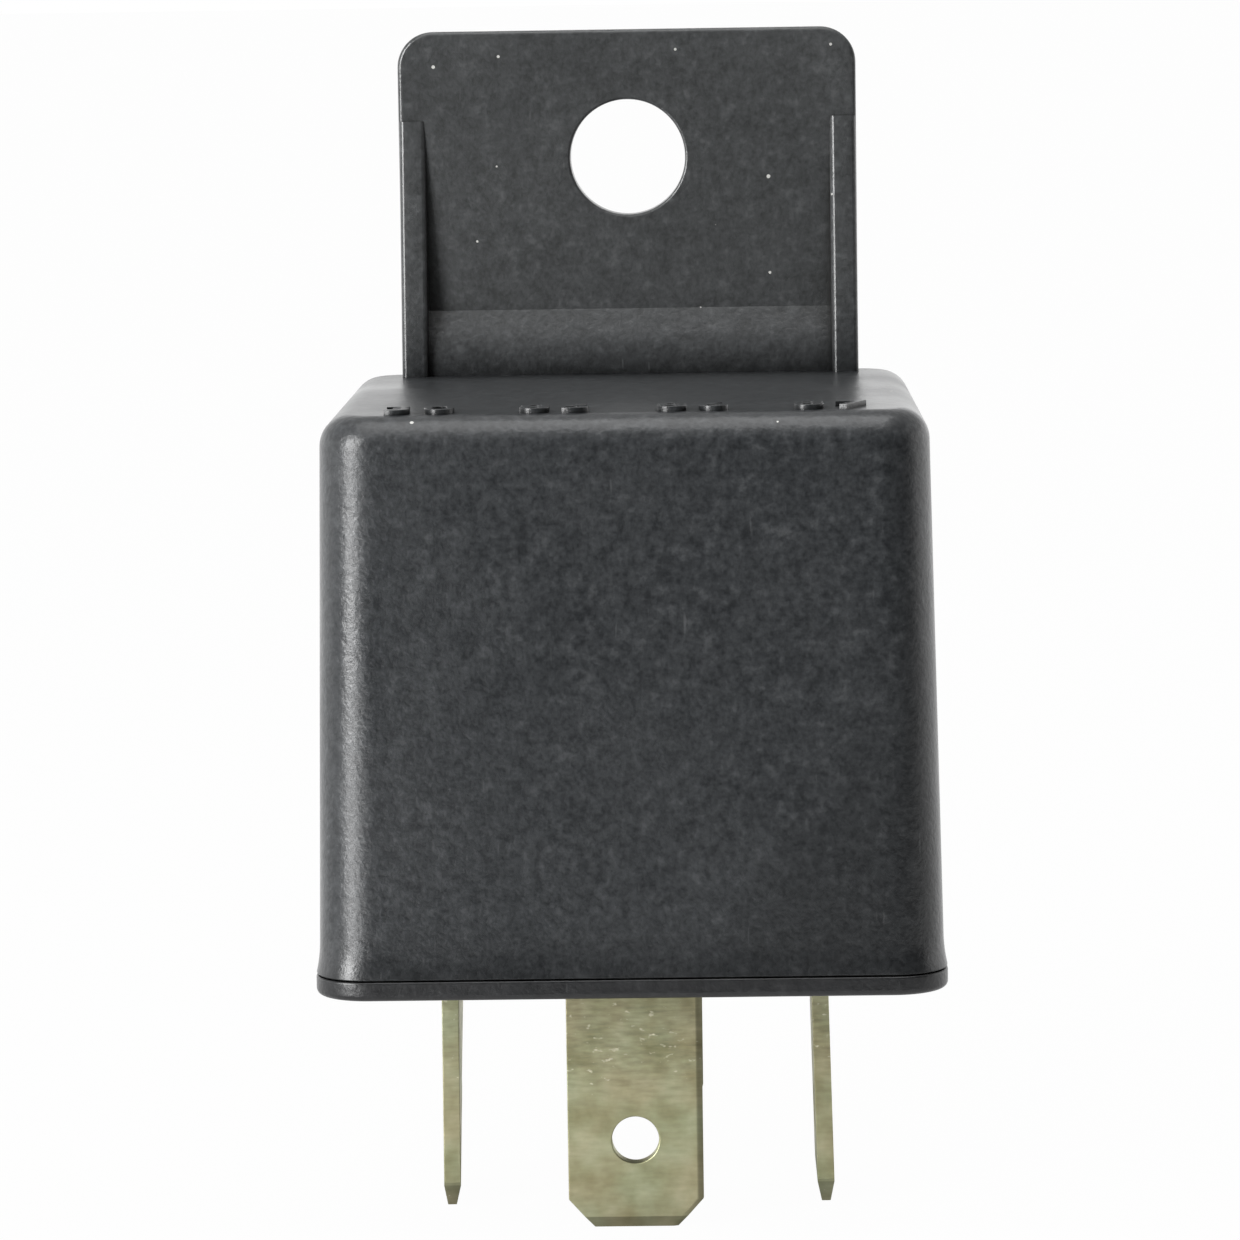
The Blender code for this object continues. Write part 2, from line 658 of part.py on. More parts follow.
def make_lead(name, side, finish):
    """One end of the coil's wire, wound round its terminal's post."""
    points = lead_points(side)
    curve = bpy.data.curves.new(name, "CURVE")
    curve.dimensions = "3D"
    curve.bevel_depth = LEAD_DIAMETER / 2
    curve.bevel_resolution = 1
    curve.use_fill_caps = True
    spline = curve.splines.new("POLY")
    spline.points.add(len(points) - 1)
    for place, point in zip(spline.points, points):
        place.co = (*point, 1)
    curve.materials.append(finish)
    lead = bpy.data.objects.new(name, curve)
    bpy.context.scene.collection.objects.link(lead)
    return lead


def make_pivot():
    """The hinge line at the yoke's top front edge, turned to the open position."""
    pivot = bpy.data.objects.new("armature_pivot", None)
    pivot.empty_display_size = YOKE_WIDTH / 4
    pivot.location = hinge
    pivot.rotation_euler.x = open_angle
    bpy.context.scene.collection.objects.link(pivot)
    return pivot


def make_armature(pivot, finish):
    """The steel plate that the core pulls down: round-heeled, notched for the ears, with a blunt nose."""
    heel = (yoke_front + HEEL_ROUND, armature_high - HEEL_ROUND)
    nose = yoke_front + ARMATURE_LENGTH
    outline = [(yoke_front, armature_low), (nose, armature_low), (nose, armature_high)]
    outline += arc(heel, HEEL_ROUND, 90, 180, BEND_STEPS)
    half = ARMATURE_WIDTH / 2
    armature = add_object("armature", loft([along_x(outline, -half), along_x(outline, half)]), finish)
    below, above = armature_low - SINK, armature_high + SINK
    tongue = YOKE_WIDTH / 2 - EAR_WIDTH - EAR_GAP
    notch_back = yoke_front + YOKE_THICKNESS + EAR_GAP
    cutters = []
    for side, name in ((-1, "left"), (1, "right")):
        near, far = sorted((side * tongue, side * (half + SINK)))
        low = (near, yoke_front - SINK, below)
        cutters.append(box(f"ear_notch_{name}", low, (far, notch_back, above)))
        x, y = half + SINK, nose + SINK
        leg = ARMATURE_NOSE_CHAMFER + 2 * SINK
        corner = [(side * px, py) for px, py in ((x, y), (x - leg, y), (x, y - leg))]
        prism = loft([at_height(corner, below), at_height(corner, above)])
        cutters.append(add_object(f"nose_cut_{name}", prism))
    for side, x in rivet_places():
        at = (x, yoke_front + ARMATURE_RIVET_REACH, armature_low)
        radius = RIVET_DIAMETER / 2 + SHAFT_GAP
        through = ARMATURE_THICKNESS + SINK
        cutters.append(pin(f"armature_rivet_hole_{side}", radius, -SINK, through, "Z", at))
    for cutter in cutters:
        combine(armature, carry(cutter, pivot), "DIFFERENCE")
    return carry(armature, pivot)


def spring_line():
    """The contact spring's centreline at rest: up the yoke, round the heel and along the open armature."""
    offset = Vector((HEEL_ROUND, armature_high - HEEL_ROUND - hinge.z))
    cos, sin = math.cos(open_angle), math.sin(open_angle)
    centre = (hinge.y + offset.x * cos - offset.y * sin, hinge.z + offset.x * sin + offset.y * cos)
    radius = HEEL_ROUND + FIT_GAP + SPRING_THICKNESS / 2
    bend = arc(centre, radius, 180, 90 + ARMATURE_OPEN_DEG, BEND_STEPS)
    leg_y = centre[0] - radius
    leg_low = centre[1] - SPRING_LEG
    run = contact_reach + SPRING_TIP - HEEL_ROUND
    taper = contact_reach - HEEL_ROUND - CONTACT_DIAMETER
    shoulder = HEEL_ROUND
    arm = [(bend[-1][0] + s * cos, bend[-1][1] + s * sin) for s in (shoulder, taper / 2, taper, run)]
    line = [(leg_y, leg_low), (leg_y, centre[1] - 2 * HEEL_ROUND)] + bend + arm
    widths = [SPRING_WIDTH, SPRING_WIDTH] + [SPRING_BEND_WIDTH] * len(bend)
    widths += [SPRING_WIDTH, SPRING_WIDTH, SPRING_TIP_WIDTH, SPRING_TIP_WIDTH]
    return line, widths


def make_spring(pivot, finish):
    """The leaf that returns the armature and carries the moving contact past the armature's nose."""
    line, widths = spring_line()
    spring = strip("contact_spring", line, widths, [SPRING_THICKNESS] * len(line), "X", finish)
    radius = RIVET_DIAMETER / 2 + SHAFT_GAP
    for side, x in rivet_places():
        at = (x, yoke_front, pole_z - YOKE_RIVET_DROP)
        combine(spring, pin(f"spring_leg_hole_{side}", radius, -2 * SINK, 0, "Y", at), "DIFFERENCE")
        at = (x, yoke_front + ARMATURE_RIVET_REACH, armature_high)
        hole = pin(f"spring_arm_hole_{side}", radius, 0, 2 * SINK, "Z", at)
        combine(spring, carry(hole, pivot), "DIFFERENCE")
    shank = CONTACT_SHANK_DIAMETER / 2 + SHAFT_GAP
    at = (0, contact_y, armature_high)
    hole = pin("moving_contact_hole", shank, 0, 2 * SINK, "Z", at)
    combine(spring, carry(hole, pivot), "DIFFERENCE")
    return spring


def dome(radius, height):
    """(radius, z) points of a shallow dome, from the small flat at its bottom up to its full radius."""
    angles = [math.radians(a) for a in span(DOME_FLAT_DEG, 90, DOME_STEPS)]
    flat = math.cos(angles[0])
    return [(radius * math.sin(a), height * (1 - math.cos(a) / flat)) for a in angles]


def contact_rivet(name, plate, finish):
    """A domed contact face at the bottom, a shank through a plate of that thickness and a closed tail."""
    head = CONTACT_DIAMETER / 2
    through = plate + 2 * FIT_GAP
    base = contact_height
    profile = dome(head, CONTACT_DOME) + [(head, base)]
    shank, tail = CONTACT_SHANK_DIAMETER / 2, CONTACT_TAIL_DIAMETER / 2
    profile += [(shank, base), (shank, base + through), (tail, base + through)]
    profile += [(tail, base + through + CONTACT_TAIL_HEIGHT)]
    return turned(name, profile, RIVET_SIDES, finish)


def make_moving_contact(pivot, finish):
    contact = contact_rivet("moving_contact", SPRING_THICKNESS, finish)
    low = spring_low - FIT_GAP - contact_height
    contact.data.transform(Matrix.Translation((0, contact_y, low)))
    return carry(contact, pivot)


def make_fixed_contact(finish):
    contact = contact_rivet("fixed_contact", BLADE_THICKNESS, finish)
    contact.data.transform(turn_to("-Z"))
    high = fixed_arm_top + FIT_GAP + contact_height
    contact.data.transform(Matrix.Translation((0, contact_y, high)))
    return contact


def rivet(name, grip, finish):
    """A round head below zero and a plain shank of the grip's length above it."""
    head, shank = RIVET_HEAD_DIAMETER / 2, RIVET_DIAMETER / 2
    profile = [(r, z - RIVET_HEAD_HEIGHT) for r, z in dome(head, RIVET_HEAD_HEIGHT)]
    profile += [(shank, 0), (shank, grip)]
    return turned(name, profile, RIVET_SIDES, finish)


def make_rivets(pivot, finish):
    """Two rivets hold the spring's leg to the yoke, and two hold its arm to the armature."""
    leg_face = spring_line()[0][0][0] - SPRING_THICKNESS / 2
    for side, x in rivet_places():
        grip = yoke_front + YOKE_THICKNESS - leg_face
        made = rivet(f"yoke_rivet_{side}", grip, finish)
        made.data.transform(turn_to("Y"))
        at = (x, leg_face - FIT_GAP, pole_z - YOKE_RIVET_DROP)
        made.data.transform(Matrix.Translation(at))
        grip = SPRING_THICKNESS + 2 * FIT_GAP + ARMATURE_THICKNESS
        made = rivet(f"armature_rivet_{side}", grip, finish)
        made.data.transform(turn_to("-Z"))
        at = (x, yoke_front + ARMATURE_RIVET_REACH, spring_high + FIT_GAP)
        made.data.transform(Matrix.Translation(at))
        carry(made, pivot)


def make_stop(finish):
    """The bracket behind the contacts whose arm stops the contact's tail when the spring lifts it."""
    line_y = (stop_front + stop_back) / 2
    arm_z = stop_low + STOP_THICKNESS / 2
    bend = arc((line_y - STOP_THICKNESS, arm_z - STOP_THICKNESS), STOP_THICKNESS, 0, 90, BEND_STEPS)
    line = [(line_y, BASE_DECK - STOP_DEPTH + FIT_GAP)] + bend + [(line_y - STOP_REACH, arm_z)]
    widths = [STOP_WIDTH] * len(line)
    return strip("stop_bracket", line, widths, [STOP_THICKNESS] * len(line), "X", finish)


def main():
    clear_scene()
    black_nylon = material("black_nylon", (0.035, 0.036, 0.038), 0.45)
    base_nylon = material("base_nylon", (0.03, 0.031, 0.033), 0.5)
    plated_brass = material("plated_brass", (0.42, 0.40, 0.28), 0.38, 1.0)
    zinc_steel = material("zinc_steel", (0.62, 0.62, 0.60), 0.35, 1.0)
    natural_pbt = material("natural_pbt", (0.72, 0.69, 0.60), 0.5)
    copper_wire = material("copper_wire", (0.56, 0.22, 0.09), 0.35, 1.0)
    spring_bronze = material("spring_bronze", (0.66, 0.42, 0.22), 0.3, 1.0)
    silver_alloy = material("silver_alloy", (0.80, 0.79, 0.76), 0.3, 1.0)
    make_cover(black_nylon)
    make_base(base_nylon)
    make_terminal_30(plated_brass)
    make_terminal_87(plated_brass)
    make_coil_terminal("terminal_85", COIL_BLADE_X, plated_brass)
    make_coil_terminal("terminal_86", -COIL_BLADE_X, plated_brass)
    make_yoke(zinc_steel)
    make_core(zinc_steel)
    make_bobbin(natural_pbt)
    make_winding(copper_wire)
    make_lead("coil_lead_85", 1, copper_wire)
    make_lead("coil_lead_86", -1, copper_wire)
    pivot = make_pivot()
    make_armature(pivot, zinc_steel)
    make_spring(pivot, spring_bronze)
    make_moving_contact(pivot, silver_alloy)
    make_fixed_contact(silver_alloy)
    make_rivets(pivot, zinc_steel)
    make_stop(plated_brass)


main()
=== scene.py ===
# %% [markdown]
# # A plug-in relay with a moulded bracket
# The relay is a black moulded cap over a small electromagnet, with four brass blades below and a bracket
# above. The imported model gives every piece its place, its size and its hinge. This lesson dresses that
# model: finer surfaces where the eye can reach, and a finish for each material.

import bmesh
import bpy
import numpy as np
from mathutils import Matrix, Vector


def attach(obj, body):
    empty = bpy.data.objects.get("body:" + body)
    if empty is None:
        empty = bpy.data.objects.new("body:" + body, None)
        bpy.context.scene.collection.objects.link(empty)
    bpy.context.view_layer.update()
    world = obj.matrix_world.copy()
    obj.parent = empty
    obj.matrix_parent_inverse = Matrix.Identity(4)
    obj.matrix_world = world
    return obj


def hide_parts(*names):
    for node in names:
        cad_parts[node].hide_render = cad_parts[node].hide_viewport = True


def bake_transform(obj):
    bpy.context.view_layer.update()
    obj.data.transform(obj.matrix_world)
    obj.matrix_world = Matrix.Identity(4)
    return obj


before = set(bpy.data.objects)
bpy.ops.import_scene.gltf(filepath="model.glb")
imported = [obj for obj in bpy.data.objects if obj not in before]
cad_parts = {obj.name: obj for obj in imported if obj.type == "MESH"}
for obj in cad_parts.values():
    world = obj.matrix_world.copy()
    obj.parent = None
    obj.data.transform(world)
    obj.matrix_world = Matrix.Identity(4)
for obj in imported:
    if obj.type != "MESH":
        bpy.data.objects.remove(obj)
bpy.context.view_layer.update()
MM = 0.001

# %% [markdown]
# ## From arrays to pieces
# A moulded or stamped piece is easy to describe as a stack of outlines. Each outline is one row of an
# array, and the rows differ by a rule, such as a draft or a rounded edge. A skin of quads between the rows
# is the piece. Joining primitives by hand would work too, but here every rounding is a formula to read.


# %% Skins over rings
def in_scene(name, data):
    """An object for a mesh, a text, a lamp or a camera, linked to the scene."""
    made = bpy.data.objects.new(name, data)
    bpy.context.scene.collection.objects.link(made)
    return made


def add_piece(name, points, faces):
    """An object from points in millimetres, with its faces turned outwards."""
    mesh = bpy.data.meshes.new(name)
    mesh.from_pydata((np.asarray(points, float) * MM).tolist(), [], faces)
    shell = bmesh.new()
    shell.from_mesh(mesh)
    bmesh.ops.recalc_face_normals(shell, faces=shell.faces)
    shell.to_mesh(mesh)
    shell.free()
    return in_scene(name, mesh)


def skinned(name, rings, closed=False):
    """A piece from rings, an array of ring, point and coordinate.

    Point j of ring i joins its neighbours in its own ring and in the next one. The first and the last ring
    are closed by flat faces, unless the rings themselves form a closed loop.
    """
    count, around = rings.shape[:2]
    i = np.arange(count if closed else count - 1)[:, None]
    j = np.arange(around)[None, :]
    after, ahead = (i + 1) % count, (j + 1) % around
    corners = (i * around + j, i * around + ahead, after * around + ahead, after * around + j)
    faces = np.stack(np.broadcast_arrays(*corners), axis=-1).reshape(-1, 4).tolist()
    if not closed:
        faces += [list(range(around))[::-1], list(range((count - 1) * around, count * around))]
    return add_piece(name, rings.reshape(-1, 3), faces)


# %% [markdown]
# ## Joining and finishing
# A Boolean modifier joins closed pieces as one mould does, or cuts holes as a punch does. Smooth shading
# alone would smear light over a flat face that ends in a small rounding. So edges past a crease angle stay
# sharp, and a Weighted Normal modifier lets the large faces set the normals they share with small ones.


# %% Joining and finishing
def combine(base, others, operation):
    """Joins closed pieces to base, or cuts them out of it, and removes them."""
    for other in others:
        step = base.modifiers.new(other.name, "BOOLEAN")
        step.solver = "EXACT"
        step.operation = operation
        step.object = other
    graph = bpy.context.evaluated_depsgraph_get()
    base.data = bpy.data.meshes.new_from_object(base.evaluated_get(graph))
    base.modifiers.clear()
    for other in others:
        bpy.data.objects.remove(other, do_unlink=True)


def finish_piece(piece, body, finish, crease_deg=14, node=None):
    """Shades a piece smooth up to a crease angle, gives it a material and lets it ride on a body."""
    piece.data.shade_smooth()
    piece.data.set_sharp_from_angle(angle=np.radians(crease_deg))
    evened = piece.modifiers.new("flat_faces_shade_flat", "WEIGHTED_NORMAL")
    evened.keep_sharp = True
    piece.data.materials.clear()
    piece.data.materials.append(finish)
    if body:
        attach(piece, body)
    if node:
        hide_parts(node)
    print(piece.name, len(piece.data.vertices), "points")


# %% [markdown]
# ## Finishes
# Every colour below is written as an sRGB hex value, the way a colour picker shows it, and is turned to
# linear light once. Every pattern is sized in millimetres: a noise texture on Object coordinates repeats
# about once in 1/scale metres, so a grain of a given size has a scale of one over that size. One function
# adds every node. Nodes can be wired by hand too, but a list of them is easier to change.

# %% Helpers for materials
RGBA = {"data_type": "RGBA"}
TIMES = {**RGBA, "blend_type": "MULTIPLY"}


def linear(code):
    """An sRGB hex colour as linear red, green, blue and alpha."""
    srgb = np.array([int(code[k : k + 2], 16) for k in (1, 3, 5)]) / 255
    light = np.where(srgb <= 0.04045, srgb / 12.92, ((srgb + 0.055) / 1.055) ** 2.4)
    return (*light.tolist(), 1.0)


def per_mm(size):
    """The scale of a texture whose features are this many millimetres long."""
    return 1 / (size * MM)


def add(tree, kind, sockets=None, **settings):
    """Adds a shader node with its settings, feeds its sockets and returns its outputs."""
    node = tree.nodes.new("ShaderNode" + kind)
    for key, value in settings.items():
        setattr(node, key, value)
    feed(node, sockets or {})
    return node.outputs


def feed(node, sockets):
    """Sets a node's sockets, each to a value, a hex colour or another node's output."""
    for key, value in sockets.items():
        if isinstance(value, bpy.types.NodeSocket):
            node.id_data.links.new(value, node.inputs[key])
        else:
            node.inputs[key].default_value = linear(value) if isinstance(value, str) else value


def new_material(name, **shader_sockets):
    """A material with a Principled shader, its tree, its shader and Object coordinates."""
    made = bpy.data.materials.new(name)
    made.use_nodes = True
    tree = made.node_tree
    shader = tree.nodes["Principled BSDF"]
    feed(shader, {key.replace("_", " "): value for key, value in shader_sockets.items()})
    print("made", name)
    return made, tree, shader, add(tree, "TexCoord")["Object"]


# %% [markdown]
# ### Moulded black nylon
# The cap and the base are glass-filled nylon, moulded in a spark-eroded tool. The tool leaves a fine, uneven
# grain, so the black looks mottled: tiny facets catch the light and the hollows between them stay dark. One
# noise gives the grain, and a coarser one the mottle. The mottle's highest crests are painted glints: pale
# grey mixed into the colour. One noise alone looks too even.

# %% The nylon's mottle
GRAIN = 0.22
MOTTLE = 0.55
PALE_GREY = "#7a7b7c"


def mottled(tree, place, dark, pale):
    """The mottle's colour and height: two noises lead from dark to pale, and the crests get painted glints."""
    grain = add(tree, "TexNoise", {"Vector": place, "Scale": per_mm(GRAIN), "Detail": 3.0})[0]
    mottle = add(tree, "TexNoise", {"Vector": place, "Scale": per_mm(MOTTLE), "Detail": 3.0})[0]
    both = add(tree, "Math", {0: grain, 1: mottle}, operation="ADD")[0]
    tone = add(tree, "MapRange", {"Value": both, "From Min": 0.72, "From Max": 1.32})[0]
    shade = add(tree, "Mix", {0: tone, 6: dark, 7: pale}, **RGBA)[2]
    # painted glints: the highest crests of the mottle go pale grey
    crest = {"Value": mottle, "From Min": 0.6, "From Max": 0.72, "To Max": 0.07}
    painted_glint = add(tree, "MapRange", crest)[0]
    return add(tree, "Mix", {0: painted_glint, 6: shade, 7: PALE_GREY}, **RGBA)[2], both


# %% [markdown]
# ### Painted shade
# Painted shade darkens the colour in the inner corners, where an Ambient Occlusion node finds little open
# sky within a few millimetres, and low on the cap above the joint, where it climbs higher towards the right.
# It could be painted on by hand, but the node finds every corner by itself.

# %% The nylon's painted shade
CORNER_REACH = 5
SHADE_FOOT = 0.6
SHADE_TOP_LEFT, SHADE_TOP_RIGHT = 3.6, 20
CLIMB_FROM_X, CLIMB_TO_X = 4, 13


def painted_shade(tree, place, shade):
    """A colour darkened by painted shade, both shares of light multiplied, and the corners' share of open sky.
    """
    sky = add(tree, "AmbientOcclusion", {"Distance": CORNER_REACH * MM}, samples=6)["AO"]
    corner = {"Value": sky, "From Min": 0.45, "From Max": 0.85, "To Min": 0.15, "To Max": 1.0}
    open_sky_share = add(tree, "MapRange", corner)[0]
    spot = add(tree, "SeparateXYZ", {"Vector": place})
    climb = {"Value": spot["X"], "From Min": CLIMB_FROM_X * MM, "From Max": CLIMB_TO_X * MM}
    climb |= {"To Min": SHADE_TOP_LEFT * MM, "To Max": SHADE_TOP_RIGHT * MM}
    top = add(tree, "MapRange", climb)[0]
    joint = {"Value": spot["Z"], "From Min": SHADE_FOOT * MM, "From Max": top, "To Min": 0.5, "To Max": 1.0}
    joint_unshaded = add(tree, "MapRange", joint)[0]
    # painted shade: the product of both shares darkens the colour
    left = add(tree, "Math", {0: open_sky_share, 1: joint_unshaded}, operation="MULTIPLY")[0]
    return add(tree, "Mix", {0: 1.0, 6: shade, 7: left}, **TIMES)[2], open_sky_share


# %% [markdown]
# ### Dust and scratches
# Dust comes from cells: a speck sits at a cell's centre, and a random number per cell sets its size. It
# gathers on the bracket, so height decides how much there is. Height also mixes the colour a little towards
# pale grey from 25 mm up, so the bracket is lighter. A scratch is the crest of a noise that is drawn out
# along one way. Loose grains would be truer, but specks this small show no form.

# %% The nylon's dust and scratches
DUST_CELL = 1.1
DUST_SHIFT = (4 * MM, 2 * MM, 7 * MM)
LIGHTEN_FROM_Z, LIGHTEN_TO_Z = 25, 31
SCRATCH_WIDTH = 0.3
SCRATCH_LEAN = (0, 0.2, 0)
SCRATCH_SQUEEZE = (1, 1, 0.16)


def dusted_and_lightened(tree, place, shade, dust):
    """A colour paler towards the top, with specks where a cell's centre is nearer than its size."""
    height = add(tree, "SeparateXYZ", {"Vector": place})["Z"]
    upper = {"Value": height, "From Min": LIGHTEN_FROM_Z * MM, "From Max": LIGHTEN_TO_Z * MM}
    # lighter towards the top: the colour mixes a little towards pale grey from 25 mm to 31 mm
    upward_lightening = add(tree, "MapRange", {**upper, "To Max": 0.025}, interpolation_type="SMOOTHSTEP")[0]
    lightened = add(tree, "Mix", {0: upward_lightening, 6: shade, 7: "#d8d8d2"}, **RGBA)[2]
    settled = add(tree, "Mapping", {"Vector": place, "Location": DUST_SHIFT})[0]
    cells = add(tree, "TexVoronoi", {"Vector": settled, "Scale": per_mm(DUST_CELL)})
    chance = add(tree, "SeparateXYZ", {"Vector": cells["Color"]})["X"]
    least = add(tree, "MapRange", {**upper, "To Min": 0.95, "To Max": 0.45})[0]
    speck = {"Value": chance, "From Min": least, "From Max": 1.0, "To Min": 0.0, "To Max": dust}
    reach = add(tree, "MapRange", speck)[0]
    inside = add(tree, "Math", {0: cells["Distance"], 1: reach}, operation="LESS_THAN")[0]
    return add(tree, "Mix", {0: inside, 6: lightened, 7: "#b4b4b0"}, **RGBA)[2]


def scratched(tree, place, shade):
    """A colour with pale scratches, the highest crests of a noise stretched almost upright."""
    drawn = add(tree, "Mapping", {"Vector": place, "Rotation": SCRATCH_LEAN, "Scale": SCRATCH_SQUEEZE})[0]
    line = add(tree, "TexNoise", {"Vector": drawn, "Scale": per_mm(SCRATCH_WIDTH), "Detail": 1.0})[0]
    crest = {"Value": line, "From Min": 0.76, "From Max": 0.84, "To Max": 0.16}
    scratch = add(tree, "MapRange", crest)[0]
    return add(tree, "Mix", {0: scratch, 6: shade, 7: PALE_GREY}, **RGBA)[2]


# %% [markdown]
# ### The nylon put together
# The steps lie over each other: mottle with painted glints, painted shade, a paler tint towards the top,
# dust, scratches. A wide noise gives the slightly cloudy gloss of a handled part, and corners with little
# open sky shine less, which is painted shade in the reflection. The base is the same nylon, a little darker,
# duller and without dust.

# %% Black nylon
CLOUD = 7.0
GRAIN_DEPTH = 0.04


def black_nylon(name, dark, pale, gloss, dust):
    """Black plastic: the two colours of its mottle, its middle roughness and the largest speck of dust."""
    made, tree, shader, place = new_material(name, IOR=1.53)
    shade, grain = mottled(tree, place, dark, pale)
    shade, open_sky_share = painted_shade(tree, place, shade)
    shade = scratched(tree, place, dusted_and_lightened(tree, place, shade, dust))
    cloud = add(tree, "TexNoise", {"Vector": place, "Scale": per_mm(CLOUD), "Detail": 2.0})[0]
    cloudy = {"Value": cloud, "From Min": 0.3, "From Max": 0.7}
    rough = add(tree, "MapRange", {**cloudy, "To Min": gloss - 0.03, "To Max": gloss + 0.05})[0]
    # painted shade in the reflection: the specular level falls in corners with little open sky
    sheen = add(tree, "MapRange", {"Value": open_sky_share, "To Min": 0.1, "To Max": 0.5})[0]
    bump = add(tree, "Bump", {"Height": grain, "Strength": 0.5, "Distance": GRAIN_DEPTH * MM})[0]
    feed(shader, {"Base Color": shade, "Roughness": rough, "Specular IOR Level": sheen, "Normal": bump})
    return made


cover_nylon = black_nylon("moulded_black_nylon", "#1d1f21", "#37393b", 0.31, 0.09)
base_nylon = black_nylon("moulded_black_nylon_base", "#191a1c", "#2d2e30", 0.35, 0.0)

# %% [markdown]
# ### Dulled rolled brass
# The blades are stamped from rolled brass and have gone olive with age and handling. A soft noise dulls
# patches of it, and a wide one stains them a little warmer or greener. Rolling and wiping leave fine streaks
# across the blade, so their noise is stretched: long across the blade and short up it. Where a connector
# grips the blade, near the base, it leaves stronger streaks and small bright flecks. An even brass colour
# would look new.

# %% Patches and streaks
PATCH = 1.5
STAIN = 2.5
STREAK, STREAK_SQUEEZE = 0.2, (0.2, 0.2, 1.0)
FLECK, FLECK_SQUEEZE = 0.24, (0.55, 0.55, 1.0)
GRIP_FROM_Z, GRIP_TO_Z = -6.8, -3.8


def patched(tree, place):
    """Brass gone dull: its colour, between two olives and tinted by a stain, and its roughness."""
    patch = add(tree, "TexNoise", {"Vector": place, "Scale": per_mm(PATCH), "Detail": 5.0})[0]
    aged = {"Value": patch, "From Min": 0.26, "From Max": 0.76}
    share = add(tree, "MapRange", aged)[0]
    olive = add(tree, "Mix", {0: share, 6: "#908d6e", 7: "#bebca0"}, **RGBA)[2]
    stain = add(tree, "TexNoise", {"Vector": place, "Scale": per_mm(STAIN), "Detail": 2.0})[0]
    warm = add(tree, "MapRange", {"Value": stain, "From Min": 0.35, "From Max": 0.65})[0]
    tint = add(tree, "Mix", {0: warm, 6: "#f9fff9", 7: "#fffaf3"}, **RGBA)[2]
    rough = add(tree, "MapRange", {**aged, "To Min": 0.56, "To Max": 0.44})[0]
    return add(tree, "Mix", {0: 1.0, 6: olive, 7: tint}, **TIMES)[2], rough


def streaked(tree, place, colour):
    """A colour times a stretched noise, with bright flecks, both stronger at the grip, and that noise."""
    height = add(tree, "SeparateXYZ", {"Vector": place})["Z"]
    grip = {"Value": height, "From Min": GRIP_FROM_Z * MM, "From Max": GRIP_TO_Z * MM}
    dullest = add(tree, "MapRange", {**grip, "To Min": 0.96, "To Max": 0.78})[0]
    brightest = add(tree, "MapRange", {**grip, "To Min": 1.12, "To Max": 1.16})[0]
    across = add(tree, "Mapping", {"Vector": place, "Scale": STREAK_SQUEEZE})[0]
    streak = add(tree, "TexNoise", {"Vector": across, "Scale": per_mm(STREAK), "Detail": 4.0})[0]
    drawn = {"Value": streak, "From Min": 0.3, "From Max": 0.7, "To Min": dullest, "To Max": brightest}
    lines = add(tree, "MapRange", drawn)[0]
    lined = add(tree, "Mix", {0: 1.0, 6: colour, 7: lines}, **TIMES)[2]
    wide = add(tree, "Mapping", {"Vector": place, "Scale": FLECK_SQUEEZE})[0]
    fleck = add(tree, "TexNoise", {"Vector": wide, "Scale": per_mm(FLECK), "Detail": 2.0})[0]
    rare = add(tree, "MapRange", {**grip, "To Min": 0.78, "To Max": 0.64})[0]
    bare = add(tree, "MapRange", {"Value": fleck, "From Min": rare, "From Max": 0.82})[0]
    return add(tree, "Mix", {0: bare, 6: lined, 7: "#f4efd8"}, **RGBA)[2], streak


# %% [markdown]
# ### The brass put together
# Painted shade darkens a blade's rolled edge and its tip bevel. Each blade carries an attribute that marks
# both, which follows the shape more closely than any pattern in space could.


# %% Brass
def dulled_brass(name):
    """Aged brass: patches and streaks, times painted shade that the blade's own attribute places."""
    made, tree, shader, place = new_material(name, Metallic=1.0)
    colour, rough = patched(tree, place)
    colour, streak = streaked(tree, place, colour)
    rolled = add(tree, "Attribute", attribute_name="edge_and_tip_shade")["Fac"]
    # painted shade: the colour darkens to 0.6 on the rolled edge and less on the tip bevel
    painted_edge_shade = add(tree, "MapRange", {"Value": rolled, "To Min": 1.0, "To Max": 0.6})[0]
    colour = add(tree, "Mix", {0: 1.0, 6: colour, 7: painted_edge_shade}, **TIMES)[2]
    bump = add(tree, "Bump", {"Height": streak, "Strength": 0.2, "Distance": 0.01 * MM})[0]
    feed(shader, {"Base Color": colour, "Roughness": rough, "Normal": bump})
    return made


blade_brass = dulled_brass("dulled_rolled_brass")

# %% [markdown]
# ### The metals and the plastic inside
# The works are out of sight under the cap, but a cut-away or an exploded view shows them. Zinc-plated steel
# is pale and slightly yellow where its plating was passivated. Enamelled copper is copper seen through a
# clear lacquer, which a coat over the metal gives. Spring bronze is rolled along its length, and contact
# silver is soft and dull. One function serves them all: a colour drifts between two tones, and its grain may
# be drawn out one way.


# %% Materials of the works
def drifting(name, first, second, size, gloss, stretch=(1, 1, 1), metal=1.0, coat=0.0):
    """A material between two colours: a noise of that size in millimetres, stretched along each axis."""
    made, tree, shader, place = new_material(name, Metallic=metal, Coat_Weight=coat, Coat_Roughness=0.12)
    drawn = add(tree, "Mapping", {"Vector": place, "Scale": tuple(1 / s for s in stretch)})[0]
    drift = add(tree, "TexNoise", {"Vector": drawn, "Scale": per_mm(size), "Detail": 4.0})[0]
    share = {"Value": drift, "From Min": 0.3, "From Max": 0.7}
    tones = {0: add(tree, "MapRange", share)[0], 6: first, 7: second}
    colour = add(tree, "Mix", tones, **RGBA)[2]
    rough = add(tree, "MapRange", {**share, "To Min": gloss + 0.07, "To Max": gloss - 0.05})[0]
    bump = add(tree, "Bump", {"Height": drift, "Strength": 0.15, "Distance": 0.01 * MM})[0]
    feed(shader, {"Base Color": colour, "Roughness": rough, "Normal": bump})
    return made


